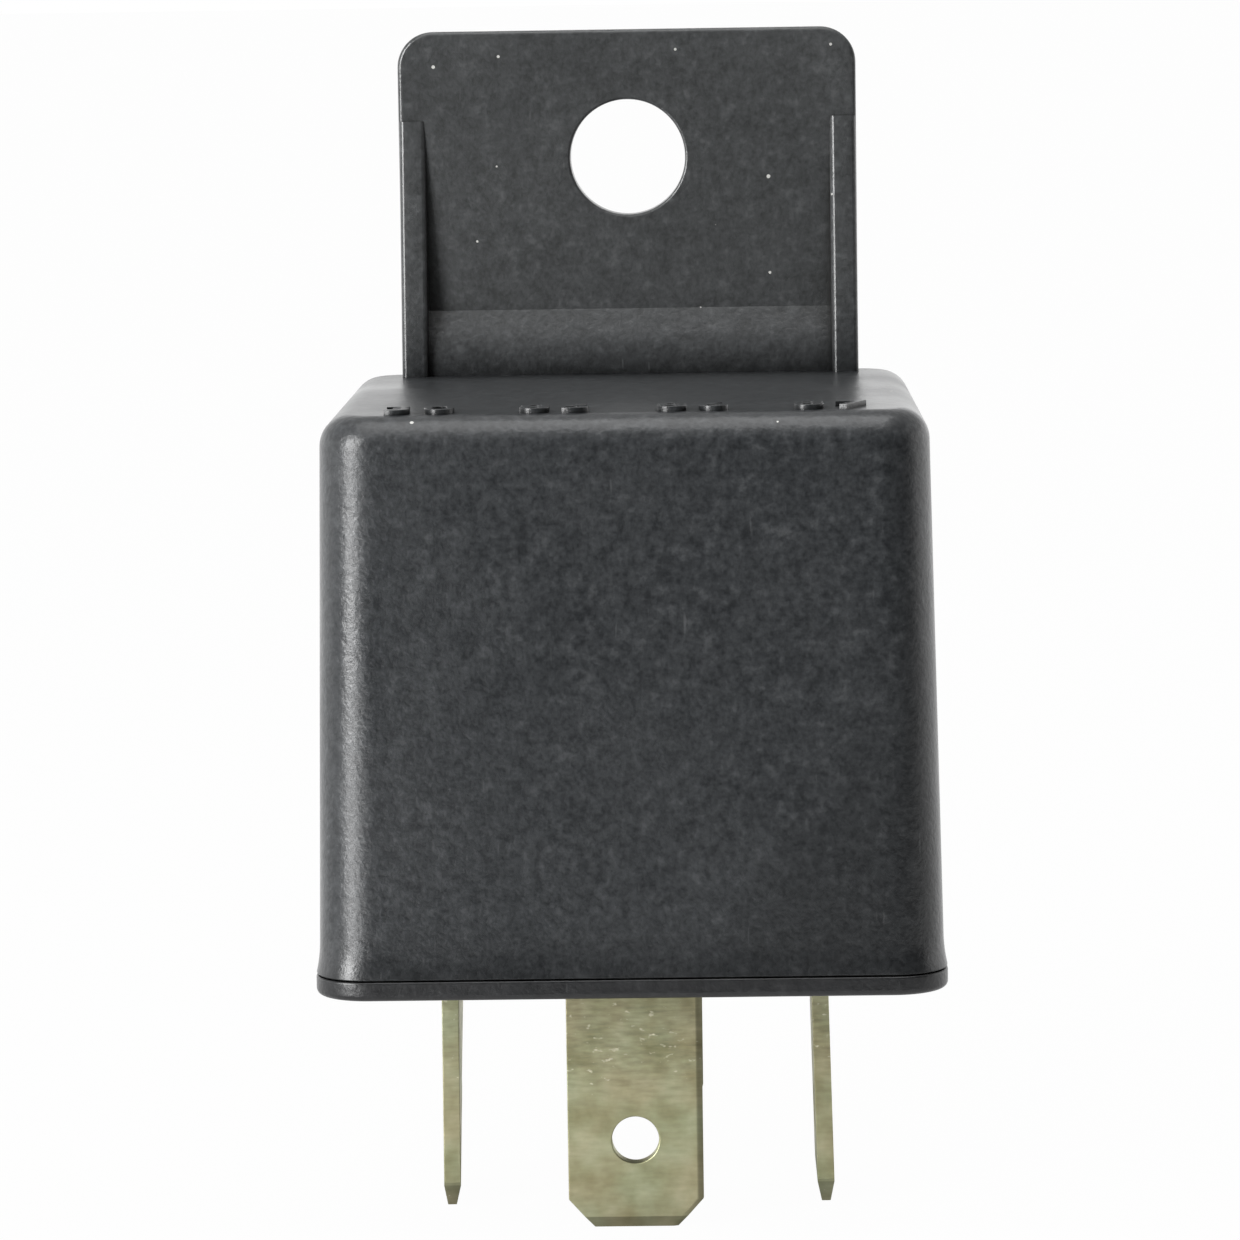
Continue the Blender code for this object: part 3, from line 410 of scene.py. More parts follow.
zinc_steel = drifting("zinc_plated_steel", "#b9bbb6", "#cfcab2", 1.6, 0.36)
copper_wire = drifting("enamelled_copper_wire", "#8f3d1b", "#b55f2e", 0.9, 0.3, coat=0.6)
spring_bronze = drifting("rolled_spring_bronze", "#b98d58", "#cda672", 0.2, 0.27, stretch=(1, 20, 20))
contact_silver = drifting("worn_contact_silver", "#c9c6bd", "#e2e0d8", 0.4, 0.38)
bobbin_plastic = drifting("moulded_natural_polyester", "#cfc4a6", "#dcd3ba", 3.0, 0.46, metal=0.0)

# %% [markdown]
# ## The cover
# The cap is drafted so that it leaves its mould: its front and sides lean in towards the top, and its back
# stays upright to lie against a panel. Its outline is a rounded rectangle at every height. A cube with a
# Bevel modifier would come close, but it has no draft and no flare at the rim.

# %% The cap's outlines
COVER_SIDE = 28.6
COVER_TOP = 26.5
COVER_TAPER = 0.5
COVER_WALL = 1.2
COVER_CORNER = 2.5
RIM_Z = 0.95
RIM_FLARE = 0.15
FLARE_HEIGHT = 1.4
BACK_Y = COVER_SIDE / 2


def rounded_outline(left, right, front, back, radius, steps=16, side=10):
    """Points (x, y) of a rounded rectangle: quarter arcs joined by straight sides.

    Each side has points close to the arcs, so that the flat walls stay flat under smooth shading.
    """
    turn = np.radians(np.linspace(0, 90, steps + 1))
    centres = [(right - radius, back - radius), (left + radius, back - radius)]
    centres += [(left + radius, front + radius), (right - radius, front + radius)]
    arcs = [
        np.column_stack([x + radius * np.cos(turn + a), y + radius * np.sin(turn + a)])
        for (x, y), a in zip(centres, np.radians((0, 90, 180, 270)))
    ]
    share = np.concatenate([[0.012], np.linspace(0, 1, side + 2)[1:-1], [0.988]])[:, None]
    parts = []
    for arc, following in zip(arcs, arcs[1:] + arcs[:1]):
        parts += [arc, arc[-1] + share * (following[0] - arc[-1])]
    return np.vstack(parts)


def at_height(outline, z):
    """Points (x, y) as points (x, y, z), all at one height."""
    return np.column_stack([outline, np.full(len(outline), z)])


def walls(z, inwards=0.0, flare=RIM_FLARE):
    """Left, right, front and back of the cap at a height: a steady lean, and a flare at the rim."""
    lean = COVER_TAPER * (z - RIM_Z) / (COVER_TOP - RIM_Z) + inwards
    flare = flare * max(0.0, 1 - (z - RIM_Z) / FLARE_HEIGHT) ** 2
    side = COVER_SIDE / 2 - lean + flare
    return -side, side, -COVER_SIDE / 2 + lean - flare, BACK_Y - inwards


# %% [markdown]
# ### The cap's skin
# The cap is a stack of those outlines: down the inside, across the rim and up the outside. The rounded top
# edge comes from stepping the outline inwards by a quarter circle as it rises.

# %% The cap
TOP_ROUND = 1.4
TOP_STEPS = 13
RIM_ROUND = 0.1
RIM_STEPS = 4
NEAR = 0.1
WALL_LEVELS = (0.3, 0.5, 0.7, 0.85, 1.0, 1.3, 3, 6, 9, 12, 15)


def quarter(radius, count):
    """A quarter circle's distances from its two end tangents: radius (1 - sin) and radius (1 - cos)."""
    turn = np.radians(np.linspace(0, 90, count))
    return radius * (1 - np.sin(turn)), radius * (1 - np.cos(turn))


def cap_ring(wall_z, step=0.0, z=None, flare=RIM_FLARE):
    """The cap's outline at a height, moved inwards by a step, and laid at height z if that is another."""
    outline = rounded_outline(*walls(wall_z, step, flare), COVER_CORNER - step)
    return at_height(outline, wall_z if z is None else z)


def cap_rings():
    """The cap's outlines in order: down the inside, across the rim, up the outside, over the edge."""
    rings = [cap_ring(z, COVER_WALL, flare=0.0) for z in (COVER_TOP - COVER_WALL, RIM_Z)]
    rings += [cap_ring(RIM_Z + rise, step) for step, rise in zip(*quarter(RIM_ROUND, RIM_STEPS))]
    rings += [cap_ring(RIM_Z + FLARE_HEIGHT * level) for level in WALL_LEVELS]
    rings.append(cap_ring(COVER_TOP - TOP_ROUND - NEAR))
    rings += [cap_ring(COVER_TOP - drop, step) for drop, step in zip(*quarter(TOP_ROUND, TOP_STEPS))]
    rings.append(cap_ring(COVER_TOP, TOP_ROUND + NEAR))
    return np.stack(rings)


cover = skinned("moulded_cover", cap_rings())
print("cap", len(cover.data.polygons), "faces")

# %% [markdown]
# ## The bracket
# The bracket is moulded in one with the cap. It is a flat tab with a round screw hole. The tab is a stack of
# outlines too, from front to back, and a turned piece whose ends flare cuts the hole. A cube and a cylinder
# would leave knife-sharp edges, which catch no light.

# %% Tab and hole
TAB_HALF = 11.35
TAB_TOP = COVER_TOP + 17.0
TAB_FRONT = BACK_Y - 2.0
TAB_FOOT = COVER_TOP - TOP_ROUND - 0.05
TAB_CORNER = 1.75
TAB_ROUND = 0.22
TAB_NEAR = 0.08
TAB_PROUD = 0.004
HOLE_RADIUS = 2.85
HOLE_FLARE = 0.16
HOLE_Z = COVER_TOP + 10.7


def tab_outline(inwards):
    """Points (x, z) of the tab, moved inwards on its three free sides, with round top corners."""
    half, top = TAB_HALF - inwards, TAB_TOP - inwards
    radius = TAB_CORNER - inwards
    drop, step = quarter(radius, 17)
    right = np.column_stack([half - step, top - drop])
    left = np.column_stack([-right[::-1, 0], right[::-1, 1]])
    foot = np.array([(-half, TAB_FOOT), (half, TAB_FOOT)])
    sides = np.array([(half, top - radius - NEAR), (half - radius - NEAR, top)])
    other = sides[::-1] * (-1, 1)
    return np.vstack([foot, sides[:1], right, sides[1:], other[:1], left, other[1:]])


def tab_rings():
    """The tab's outlines from front to back: each edge steps outwards by a quarter circle, then back in."""
    steps = [(TAB_ROUND + TAB_NEAR, 0.0), *zip(*quarter(TAB_ROUND, 7))]
    front = [np.insert(tab_outline(step), 1, TAB_FRONT + depth, axis=1) for step, depth in steps]
    back = [np.insert(tab_outline(step), 1, BACK_Y + TAB_PROUD - depth, axis=1) for step, depth in steps]
    return np.stack(front + back[::-1])


def turned_hole(radius, low, high, flare, sides=96):
    """A cutter turned about Y: a cylinder whose ends widen by a quarter circle."""
    run, widen = quarter(flare, 6)
    y = np.concatenate([[low - 1], (low + run)[::-1], high - run, [high + 1]])
    r = np.concatenate([[radius + flare], (radius + widen)[::-1], radius + widen, [radius + flare]])
    turn = np.linspace(0, 2 * np.pi, sides, endpoint=False)
    x = r[:, None] * np.cos(turn)
    z = r[:, None] * np.sin(turn)
    return np.stack([x, np.broadcast_to(y[:, None], x.shape), z], axis=-1)


tab = skinned("tab", tab_rings())
hole = skinned("hole", turned_hole(HOLE_RADIUS, TAB_FRONT, BACK_Y, HOLE_FLARE) + (0, 0, HOLE_Z))
combine(tab, [hole], "DIFFERENCE")
print("tab", len(tab.data.polygons), "faces")

# %% [markdown]
# ### Ribs and slope
# A thin rib along each side of the tab grows from nothing to its full depth at the cap, and a slope runs
# along the foot between them. Each is a small stack of outlines, and a Boolean joins them to the cap. It is
# unsure where two faces lie in one plane, so the ribs stay a hair inside the tab's sides and the tab a hair
# proud of the back.

# %% Ribs, slope and the joined cap
RIB_WIDTH = 1.3
RIB_DEPTH = 1.5
RIB_HEIGHT = 12.6
RIB_END = 0.1
RIB_ROUND = 0.28
RIB_NEAR = 0.06
RIB_BACK = TAB_FRONT + 0.7
RIB_X = TAB_HALF - RIB_WIDTH / 2 - 0.03
SLOPE_HEIGHT = 3.2
SLOPE_LEAN_DEG = 25
SLOPE_CURVED = 0.65
SLOPE_STEPS = 32
SLOPE_BACK = TAB_FRONT + 0.8
SLOPE_FOOT = -0.5


def rib_rings(centre):
    """A rib as outlines (x, y) at rising heights: its front edge is round, and its depth falls steadily."""
    half = RIB_WIDTH / 2
    rise, step = quarter(RIB_ROUND, 7)
    corner = np.column_stack([-half + step, rise])
    left, right = (-half, RIB_ROUND + RIB_NEAR), (half, RIB_ROUND + RIB_NEAR)
    front = np.vstack([[left], corner, corner[::-1] * (-1, 1), [right]])
    back = np.array([(half, RIB_BACK), (-half, RIB_BACK)])
    rings = []
    for share in np.linspace(-0.06, 1.0, 24):
        y = TAB_FRONT - RIB_END - (RIB_DEPTH - RIB_END) * (1 - share)
        outline = np.vstack([front + (0, y), back]) + (centre, 0)
        rings.append(at_height(outline, COVER_TOP + RIB_HEIGHT * share))
    return np.stack(rings)


def slope_rings():
    """The slope's profile (y, z), carried from rib to rib along X.

    It leans by a fixed angle at first, then ever less, and is upright at its foot. Its depth is the sum of
    the small steps forward, each one the tangent of the lean times the step down.
    """
    fall = np.linspace(0, 1, SLOPE_STEPS + 1)
    lean = np.radians(SLOPE_LEAN_DEG * np.clip((1 - fall) / SLOPE_CURVED, 0, 1))
    step = np.tan((lean[1:] + lean[:-1]) / 2) * SLOPE_HEIGHT / SLOPE_STEPS
    depth = np.concatenate([[0], np.cumsum(step)])
    swell = np.column_stack([TAB_FRONT - depth, SLOPE_HEIGHT * (1 - fall)])
    sunk = [(swell[-1, 0], SLOPE_FOOT), (SLOPE_BACK, SLOPE_FOOT), (SLOPE_BACK, SLOPE_HEIGHT)]
    profile = np.vstack([swell, sunk]) + (0, COVER_TOP)
    return np.stack([np.insert(profile, 0, x, axis=1) for x in (-RIB_X, RIB_X)])


ribs = [skinned(f"rib_{k}", rib_rings(x)) for k, x in enumerate((-RIB_X, RIB_X))]
slope = skinned("slope", slope_rings())
combine(cover, [tab, slope, *ribs], "UNION")
finish_piece(cover, "housing", cover_nylon, node="cover")

# %% [markdown]
# ## Plain terminal numbers
# The roof carries the plain numbers of the four terminals, raised, near its front edge. A text object is the
# quickest way to such figures: it becomes a mesh first, and then its points are moved to their place on the
# roof, sunk a little so that they grow out of it.

# %% Raised figures
FIGURE_SIZE = 3.0
FIGURE_SPACING = 1.25
FIGURE_RISE = 0.22
FIGURE_SINK = 0.12
FIGURE_BEVEL = 0.03
FIGURE_Y = -12.35
FIGURES = {"30": -9.3, "85": -3.1, "86": 3.1, "87": 9.3}


def raised_figures(name, words, x, y, z):
    """Figures that lie on a level face, with their upright side towards the back."""
    letters = bpy.data.curves.new(name, "FONT")
    letters.body = words
    letters.align_x = "CENTER"
    letters.size = FIGURE_SIZE
    letters.space_character = FIGURE_SPACING
    letters.extrude = (FIGURE_RISE + FIGURE_SINK) / 2
    letters.bevel_depth = FIGURE_BEVEL
    letters.resolution_u = 6
    draft = in_scene(name, letters)
    graph = bpy.context.evaluated_depsgraph_get()
    mesh = bpy.data.meshes.new_from_object(draft.evaluated_get(graph))
    bpy.data.objects.remove(draft, do_unlink=True)
    lift = z - FIGURE_SINK + letters.extrude
    mesh.transform(Matrix.Scale(MM, 4) @ Matrix.Translation((x, y, lift)))
    return in_scene(name, mesh)


for words, x in FIGURES.items():
    figures = raised_figures(f"figures_{words}", words, x, FIGURE_Y, COVER_TOP)
    finish_piece(figures, "housing", cover_nylon, crease_deg=30)

# %% [markdown]
# ## The base
# The base closes the cap from below. Its flange shows as a narrow band under a fine dark joint, with a well
# rounded lower edge, and a plug above it fits inside the cap. Rails on the plug carry the yoke, and slots
# let the blades through. Both are straight blocks, since nobody sees their edges.

# %% Base plate
FLANGE = 0.9
FLANGE_ROUND = 0.3
DECK = 3.0
PLUG_GAP = 0.1
BLADE_WIDTH = 6.3
BLADE_THICK = 0.8
BLADE_30_Y = -8.5
BLADE_87_Y = 8.5
COIL_X = 8.7
COIL_Y = -2.0
SLOT_GAP = 0.08
CUT_LOW, CUT_HIGH = -1, DECK + 2
RAIL_X, RAIL_HALF = 6.8, 0.7
RAIL_FRONT, RAIL_BACK = -11.55, 4.05
RAIL_LOW, RAIL_HIGH = DECK - 0.5, DECK + 0.85
FOOT_LOW, FOOT_HIGH = (-3.25, BLADE_30_Y, 2.1), (3.25, BLADE_30_Y + 0.9, CUT_HIGH)
STOP_LOW, STOP_HIGH = (-2.08, 12.02, 1.15), (2.08, 12.78, CUT_HIGH)


def base_rings():
    """The base's outlines from its underside up: a quarter circle outwards, the flange's edge, the plug."""
    levels = [(FLANGE_ROUND + NEAR, 0.0), *zip(*quarter(FLANGE_ROUND, 10))]
    levels += [(step, FLANGE - drop) for drop, step in zip(*quarter(RIM_ROUND, RIM_STEPS))]
    rings = [cap_ring(RIM_Z, step, z) for step, z in levels]
    plug = rounded_outline(*walls(DECK, COVER_WALL + PLUG_GAP, 0.0), COVER_CORNER - COVER_WALL)
    return np.stack(rings + [at_height(plug, z) for z in (FLANGE, DECK)])


def block(name, low, high):
    """A straight block between two corners, for a slot or a rail."""
    plan = np.array([(low[0], low[1]), (high[0], low[1]), (high[0], high[1]), (low[0], high[1])])
    return skinned(name, np.stack([at_height(plan, z) for z in (low[2], high[2])]))


def slot_block(name, x, y, along_x):
    """A block as large as a blade's section and a gap all round."""
    half = np.array((BLADE_WIDTH, BLADE_THICK) if along_x else (BLADE_THICK, BLADE_WIDTH)) / 2 + SLOT_GAP
    return block(name, (x - half[0], y - half[1], CUT_LOW), (x + half[0], y + half[1], CUT_HIGH))


base = skinned("moulded_base", base_rings())
rails = [
    block(f"rail_{k}", (x - RAIL_HALF, RAIL_FRONT, RAIL_LOW), (x + RAIL_HALF, RAIL_BACK, RAIL_HIGH))
    for k, x in enumerate((-RAIL_X, RAIL_X))
]
combine(base, rails, "UNION")
slots = [slot_block(f"slot_{k}", 0, y, True) for k, y in ((30, BLADE_30_Y), (87, BLADE_87_Y))]
slots += [slot_block(f"slot_{k}", x, COIL_Y, False) for k, x in ((85, COIL_X), (86, -COIL_X))]
slots += [block("foot_relief", FOOT_LOW, FOOT_HIGH), block("slot_stop", STOP_LOW, STOP_HIGH)]
combine(base, slots, "DIFFERENCE")
finish_piece(base, "housing", base_nylon, node="base_plate")

# %% [markdown]
# ## Strips of sheet metal
# A blade is a strip of brass that was sheared to width. The press leaves slightly rolled edges. So the
# strip's cross-section is a rectangle whose corners are rounded or rolled, carried along a centreline that
# bends inside the relay. A flat plane with a Solidify modifier would be quicker, but it has no rolled edge.

# %% Sections and strips
ROLL = (0.32, 0.1)
BURR_ROUND = 0.05


def sheet_section(width, thick, roll_width, roll_depth):
    """A sheared strip's section: its right upper edge rolls over as a parabola, and the others are round."""
    gap, rise = quarter(BURR_ROUND, 5)
    small = np.column_stack([-gap, rise])
    fall = np.linspace(1, 0, 7)
    rolled = np.column_stack([roll_width * (fall - 1), -roll_depth * fall**2])
    right = np.vstack([small + (width / 2, -thick / 2), rolled + (width / 2, thick / 2)])
    low = small[::-1] * (-1, 1) + (-width / 2, -thick / 2)
    high = small * (-1, -1) + (-width / 2, thick / 2)
    return np.vstack([right, high, low])


def strip_rings(line, width, thick, roll=ROLL):
    """A sheared section carried along a centreline of (u, z) points, as rings of (across, u, z).

    At each point the thickness lies along the line's normal, found from its neighbours.
    """
    line = np.asarray(line, float)
    run = np.gradient(line, axis=0)
    run /= np.linalg.norm(run, axis=1)[:, None]
    normal = np.column_stack([-run[:, 1], run[:, 0]])
    rings = []
    for place, out, w, t in zip(line, normal, width, thick):
        section = sheet_section(w, t, *roll)
        rings.append(np.column_stack([section[:, 0], place + section[:, 1:] * out]))
    return np.stack(rings)


# %% [markdown]
# ### The blades' forms
# A blade is coined thin at its tip, and its corners are chamfered, so that it finds its socket. Two blades
# bend into arms inside the relay, and two narrow to posts that hold the coil's wire. The tip is one list of
# stations, each with a height, a width and a thickness, and every blade shares it.

# %% Blades as strips
BLADE_TIP = -11.9
BLADE_87_TIP = -10.2
FRONT_BEVEL = 0.5
SIDE_BEVEL = 1.15
COINED_SHARE = 0.92
TIP_WIDTH, CHAMFER_WIDTH = 3.9, 6.27
CHAMFER_TOP, FULL_WIDTH_UP = 1.32, 1.4
TIP_THICK, COINED_THICK = 0.42, 0.77
POST_LOW, POST_TOP = 3.85, 10.0
POST_WIDTH = 2.0
SHOULDER_Z = 3.05
BEND_RADIUS = 0.9
BLADE_HOLE = 1.1
BLADE_HOLE_FLARE = 0.07
BLADE_HOLE_UP = 4.15


def blade_stations(end, bevel):
    """Height, width and thickness along a blade: the coined tip, the chamfered corners, the full strip."""
    coined = COINED_SHARE * bevel
    height = np.array((0.0, coined, bevel, bevel + 0.03, CHAMFER_TOP, FULL_WIDTH_UP))
    width = np.interp(height, (0, CHAMFER_TOP, FULL_WIDTH_UP), (TIP_WIDTH, CHAMFER_WIDTH, BLADE_WIDTH))
    thick = np.interp(height, (0, coined, bevel), (TIP_THICK, COINED_THICK, BLADE_THICK))
    return np.column_stack([end + height, width, thick])


def contact_strip(u, end, arm_z, reach):
    """A blade that rises from its tip at height end and bends by a quarter circle into an arm."""
    tip = blade_stations(end, FRONT_BEVEL)
    upright = np.column_stack([np.full(len(tip), u), tip[:, 0]])
    drop, ahead = quarter(BEND_RADIUS, 10)
    bend = np.column_stack([u + ahead, arm_z - drop])
    line = np.vstack([upright, [(u, 0.0)], bend, [(reach - NEAR, arm_z), (reach, arm_z)]])
    more = len(line) - len(tip)
    width = np.concatenate([tip[:, 1], np.full(more, BLADE_WIDTH)])
    thick = np.concatenate([tip[:, 2], np.full(more, BLADE_THICK)])
    return strip_rings(line, width, thick)


def post_strip(u):
    """A blade whose inner end narrows to a post for the coil's wire."""
    shoulder = [(z, BLADE_WIDTH, BLADE_THICK) for z in (0.0, SHOULDER_Z)]
    post = [(z, POST_WIDTH, BLADE_THICK) for z in (POST_LOW, POST_TOP)]
    end = [(POST_TOP + 0.05, POST_WIDTH - 0.1, BLADE_THICK - 0.1)]
    stations = np.vstack([blade_stations(BLADE_TIP, SIDE_BEVEL), shoulder, post, end])
    line = np.column_stack([np.full(len(stations), u), stations[:, 0]])
    return strip_rings(line, stations[:, 1], stations[:, 2])


def blade_hole(y, end):
    """The cutter of a blade's locking hole, a fixed way up from the tip."""
    front, back = y - BLADE_THICK / 2, y + BLADE_THICK / 2
    return turned_hole(BLADE_HOLE, front, back, BLADE_HOLE_FLARE, 64) + (0, 0, end + BLADE_HOLE_UP)


# %% [markdown]
# ### Traces of use
# Blades that were pulled from a socket are seldom straight. The two at the sides lean outwards a little, and
# one is twisted, which a formula on the points below the base gives. A Simple Deform modifier would bend the
# part inside the base too. Painted shade on the rolled edge and the tip is an attribute, one number for each
# point, that the brass reads.

# %% Leaning, twisting and painted edge shade
TWIST_DEPTH = 1.5
TIP_SHADE = 0.7
TIP_BLUR = 0.02
ROLL_BLUR = 0.08


def bent_by_use(rings, lean, twist_deg, x, y):
    """Below the base a blade leans, in proportion to its depth, and turns about its own axis."""
    below = np.clip(-rings[..., 2], 0, None)
    turn = np.radians(twist_deg) * np.clip(below / TWIST_DEPTH, 0, 1)
    across, along = rings[..., 0] - x, rings[..., 1] - y
    turned_x = x + across * np.cos(turn) - along * np.sin(turn) + lean * below
    turned_y = y + across * np.sin(turn) + along * np.cos(turn)
    return np.stack([turned_x, turned_y, rings[..., 2]], axis=-1)


def mark_edge_and_tip_shade(blade, top, rolled_edge):
    """An attribute of a blade's points for painted shade: one on its rolled edge, less on its tip, zero
    elsewhere.
    """
    points = np.empty(3 * len(blade.data.vertices))
    blade.data.vertices.foreach_get("co", points)
    x, _, z = points.reshape(-1, 3).T / MM
    painted_edge_shade = np.clip((top - z) / TIP_BLUR, 0, TIP_SHADE)
    if rolled_edge:
        painted_edge_shade = np.maximum(painted_edge_shade, np.clip((x - BLADE_WIDTH / 2 + ROLL[0]) / ROLL_BLUR, 0, 1))
    blade.data.attributes.new("edge_and_tip_shade", "FLOAT", "POINT").data.foreach_set("value", painted_edge_shade)


# %% [markdown]
# ### The four blades
# Each blade is skinned, pierced and marked in the same loop. The rear one also gets a hole in its arm, where
# the fixed contact is riveted in. Four blades modelled one by one would drift apart with every change.

# %% Blades
# Node, place, tip, and the height and reach of the arm
ARM_BLADES = (
    ("terminal_30", BLADE_30_Y, BLADE_TIP, 3.45, -4.9),
    ("terminal_87", BLADE_87_Y, BLADE_87_TIP, 20.02, 11.9),
)
# Node, place, lean and twist in degrees
POST_BLADES = (("terminal_85", COIL_X, 0.022, 0.0), ("terminal_86", -COIL_X, -0.02, 2.8))
CONTACT_HOLE = 0.85
FIXED_CONTACT_Y = 10.3


def upright_hole(name, radius, x, y, low, high):
    """A plain round cutter along Z."""
    turn = np.linspace(0, 2 * np.pi, 32, endpoint=False)
    circle = np.column_stack([x + radius * np.cos(turn), y + radius * np.sin(turn)])
    return skinned(name, np.stack([at_height(circle, z) for z in (low, high)]))


strips = {}
faces_x = [1, 0, 2]
for node, y, tip, arm_z, reach in ARM_BLADES:
    strips[node] = (contact_strip(y, tip, arm_z, reach), blade_hole(y, tip))
for node, x, lean, twist in POST_BLADES:
    pair = [rings[..., faces_x] + (0, COIL_Y, 0) for rings in (post_strip(x), blade_hole(x, BLADE_TIP))]
    strips[node] = [bent_by_use(rings, lean, twist, x, COIL_Y) for rings in pair]
for node, (rings, cut) in strips.items():
    blade = skinned(node.replace("terminal", "blade"), rings)
    cuts = [skinned(f"{node}_hole", cut)]
    if node == "terminal_87":
        cuts.append(upright_hole("contact_hole", CONTACT_HOLE, 0, FIXED_CONTACT_Y, 19, 21))
    combine(blade, cuts, "DIFFERENCE")
    across = node in ("terminal_30", "terminal_87")
    bevel = FRONT_BEVEL if across else SIDE_BEVEL
    mark_edge_and_tip_shade(blade, rings[..., 2].min() + bevel + TIP_BLUR, across)
    finish_piece(blade, "housing", blade_brass, node=node)

# %% [markdown]
# ## The coil
# The winding is one long wire, laid side by side over the bobbin. Its outside is therefore a screw thread
# with a round crest: the radius swings once in each pitch of height, and the swing moves on by one pitch in
# each turn. The real wire is about 0.1 mm thick, which no view can show, so the thread here is drawn three
# times as coarse.

# %% Winding
COIL_AXIS_Y = -1.7
WINDING_RADIUS = 7.0
WINDING_BORE = 4.21
WINDING_LOW = 6.8
WINDING_HIGH = 19.47
WIRE_PITCH = 0.35


def winding_rings(around=72, per_turn=8):
    """A sleeve whose outside is a thread: radius = middle + swing * cos(2 pi * height / pitch - angle)."""
    rows = int((WINDING_HIGH - WINDING_LOW) / WIRE_PITCH * per_turn)
    height = np.linspace(WINDING_LOW, WINDING_HIGH, rows)[:, None]
    angle = np.linspace(0, 2 * np.pi, around, endpoint=False)[None, :]
    swing = WIRE_PITCH / 8
    phase = 2 * np.pi * (height - WINDING_LOW) / WIRE_PITCH - angle
    bore = np.full((1, around), WINDING_BORE)
    radius = np.vstack([bore, WINDING_RADIUS - swing + swing * np.cos(phase), bore])
    height = np.vstack([height[:1], height, height[-1:]])
    x, y = radius * np.cos(angle), COIL_AXIS_Y + radius * np.sin(angle)
    return np.stack([x, y, np.broadcast_to(height, x.shape)], axis=-1)


winding = skinned("wound_coil", winding_rings(), closed=True)
finish_piece(winding, "housing", copper_wire, crease_deg=40, node="coil_winding")

# %% [markdown]
# ## The contact spring
# The contact spring is a bronze leaf. Its leg is riveted to the yoke and stays still, and its arm is riveted
# to the armature and swings. Only the narrow heel over the hinge flexes. The leaf here is one mesh at rest,
# up the yoke, round the heel and along the armature, and it rides on no body.

# %% Spring
SPRING_THICK = 0.25
SPRING_ROLL = (0.08, 0.08)
SPRING_CENTRE = np.array((-10.468, 21.7625))
SPRING_RADIUS = 1.275
OPEN = np.radians(2.2)
LEG_LENGTH = 8.8
ARM_LENGTH = 22.05
WIDTH_RUN = (-2.2, 0, 0.1, 1.1, 8.775, 17.55)
WIDTHS = (9, 6, 6, 9, 9, 4.2)
RIVET_X = (-2.5, 2.5)
RIVET_HOLE = 0.95
ARM_RIVET_Y = -1.117
LEG_RIVET_Z = 15.271
MOVING_CONTACT_Y = 10.224


def spring_rings():
    """The leaf at rest: up the yoke, round a narrow heel and along the open armature."""
    leg = np.linspace(-LEG_LENGTH, -0.1, 14)
    turn = np.linspace(np.pi, np.pi / 2 + OPEN, 16)
    arm = np.concatenate([np.linspace(0.1, 2.2, 8), np.linspace(3.0, ARM_LENGTH, 16)])
    start = np.column_stack([np.full(len(leg), -SPRING_RADIUS), leg])
    bend = SPRING_RADIUS * np.column_stack([np.cos(turn), np.sin(turn)])
    along = np.array((np.cos(OPEN), np.sin(OPEN)))
    line = SPRING_CENTRE + np.vstack([start, bend, bend[-1] + arm[:, None] * along])
    run = np.concatenate([leg, np.linspace(0, 0.05, len(bend)), arm])
    width = np.interp(run, WIDTH_RUN, WIDTHS)
    return strip_rings(line, width, np.full(len(line), SPRING_THICK), SPRING_ROLL)


spring = skinned("bronze_leaf", spring_rings())
holes = [upright_hole(f"arm_hole_{k}", RIVET_HOLE, x, ARM_RIVET_Y, 22, 25) for k, x in enumerate(RIVET_X)]
holes.append(upright_hole("moving_contact_hole", CONTACT_HOLE, 0, MOVING_CONTACT_Y, 22, 25))
for k, x in enumerate(RIVET_X):
    across = turned_hole(RIVET_HOLE, -13, -10, 0.0, 32) + (x, 0, LEG_RIVET_Z)
    holes.append(skinned(f"leg_hole_{k}", across))
combine(spring, holes, "DIFFERENCE")
finish_piece(spring, None, spring_bronze, node="contact_spring")
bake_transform(spring)

# %% [markdown]
# ## The rest of the works
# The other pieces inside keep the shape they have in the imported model, because stamped plates, turned rivets
# and a plain bobbin need no finer surface. Each of them gets the finish of its metal or plastic.

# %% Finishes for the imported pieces
rivets = "yoke_rivet_left yoke_rivet_right armature_rivet_left armature_rivet_right"
works = (
    (zinc_steel, f"yoke core armature {rivets}"),
    (bobbin_plastic, "bobbin"),
    (copper_wire, "coil_lead_85 coil_lead_86"),
    (contact_silver, "moving_contact fixed_contact"),
    (blade_brass, "stop_bracket"),
)
for finish, names in works:
    for name in names.split():
        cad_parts[name].material_slots[0].material = finish
    print("finished", names, "in", finish.name)
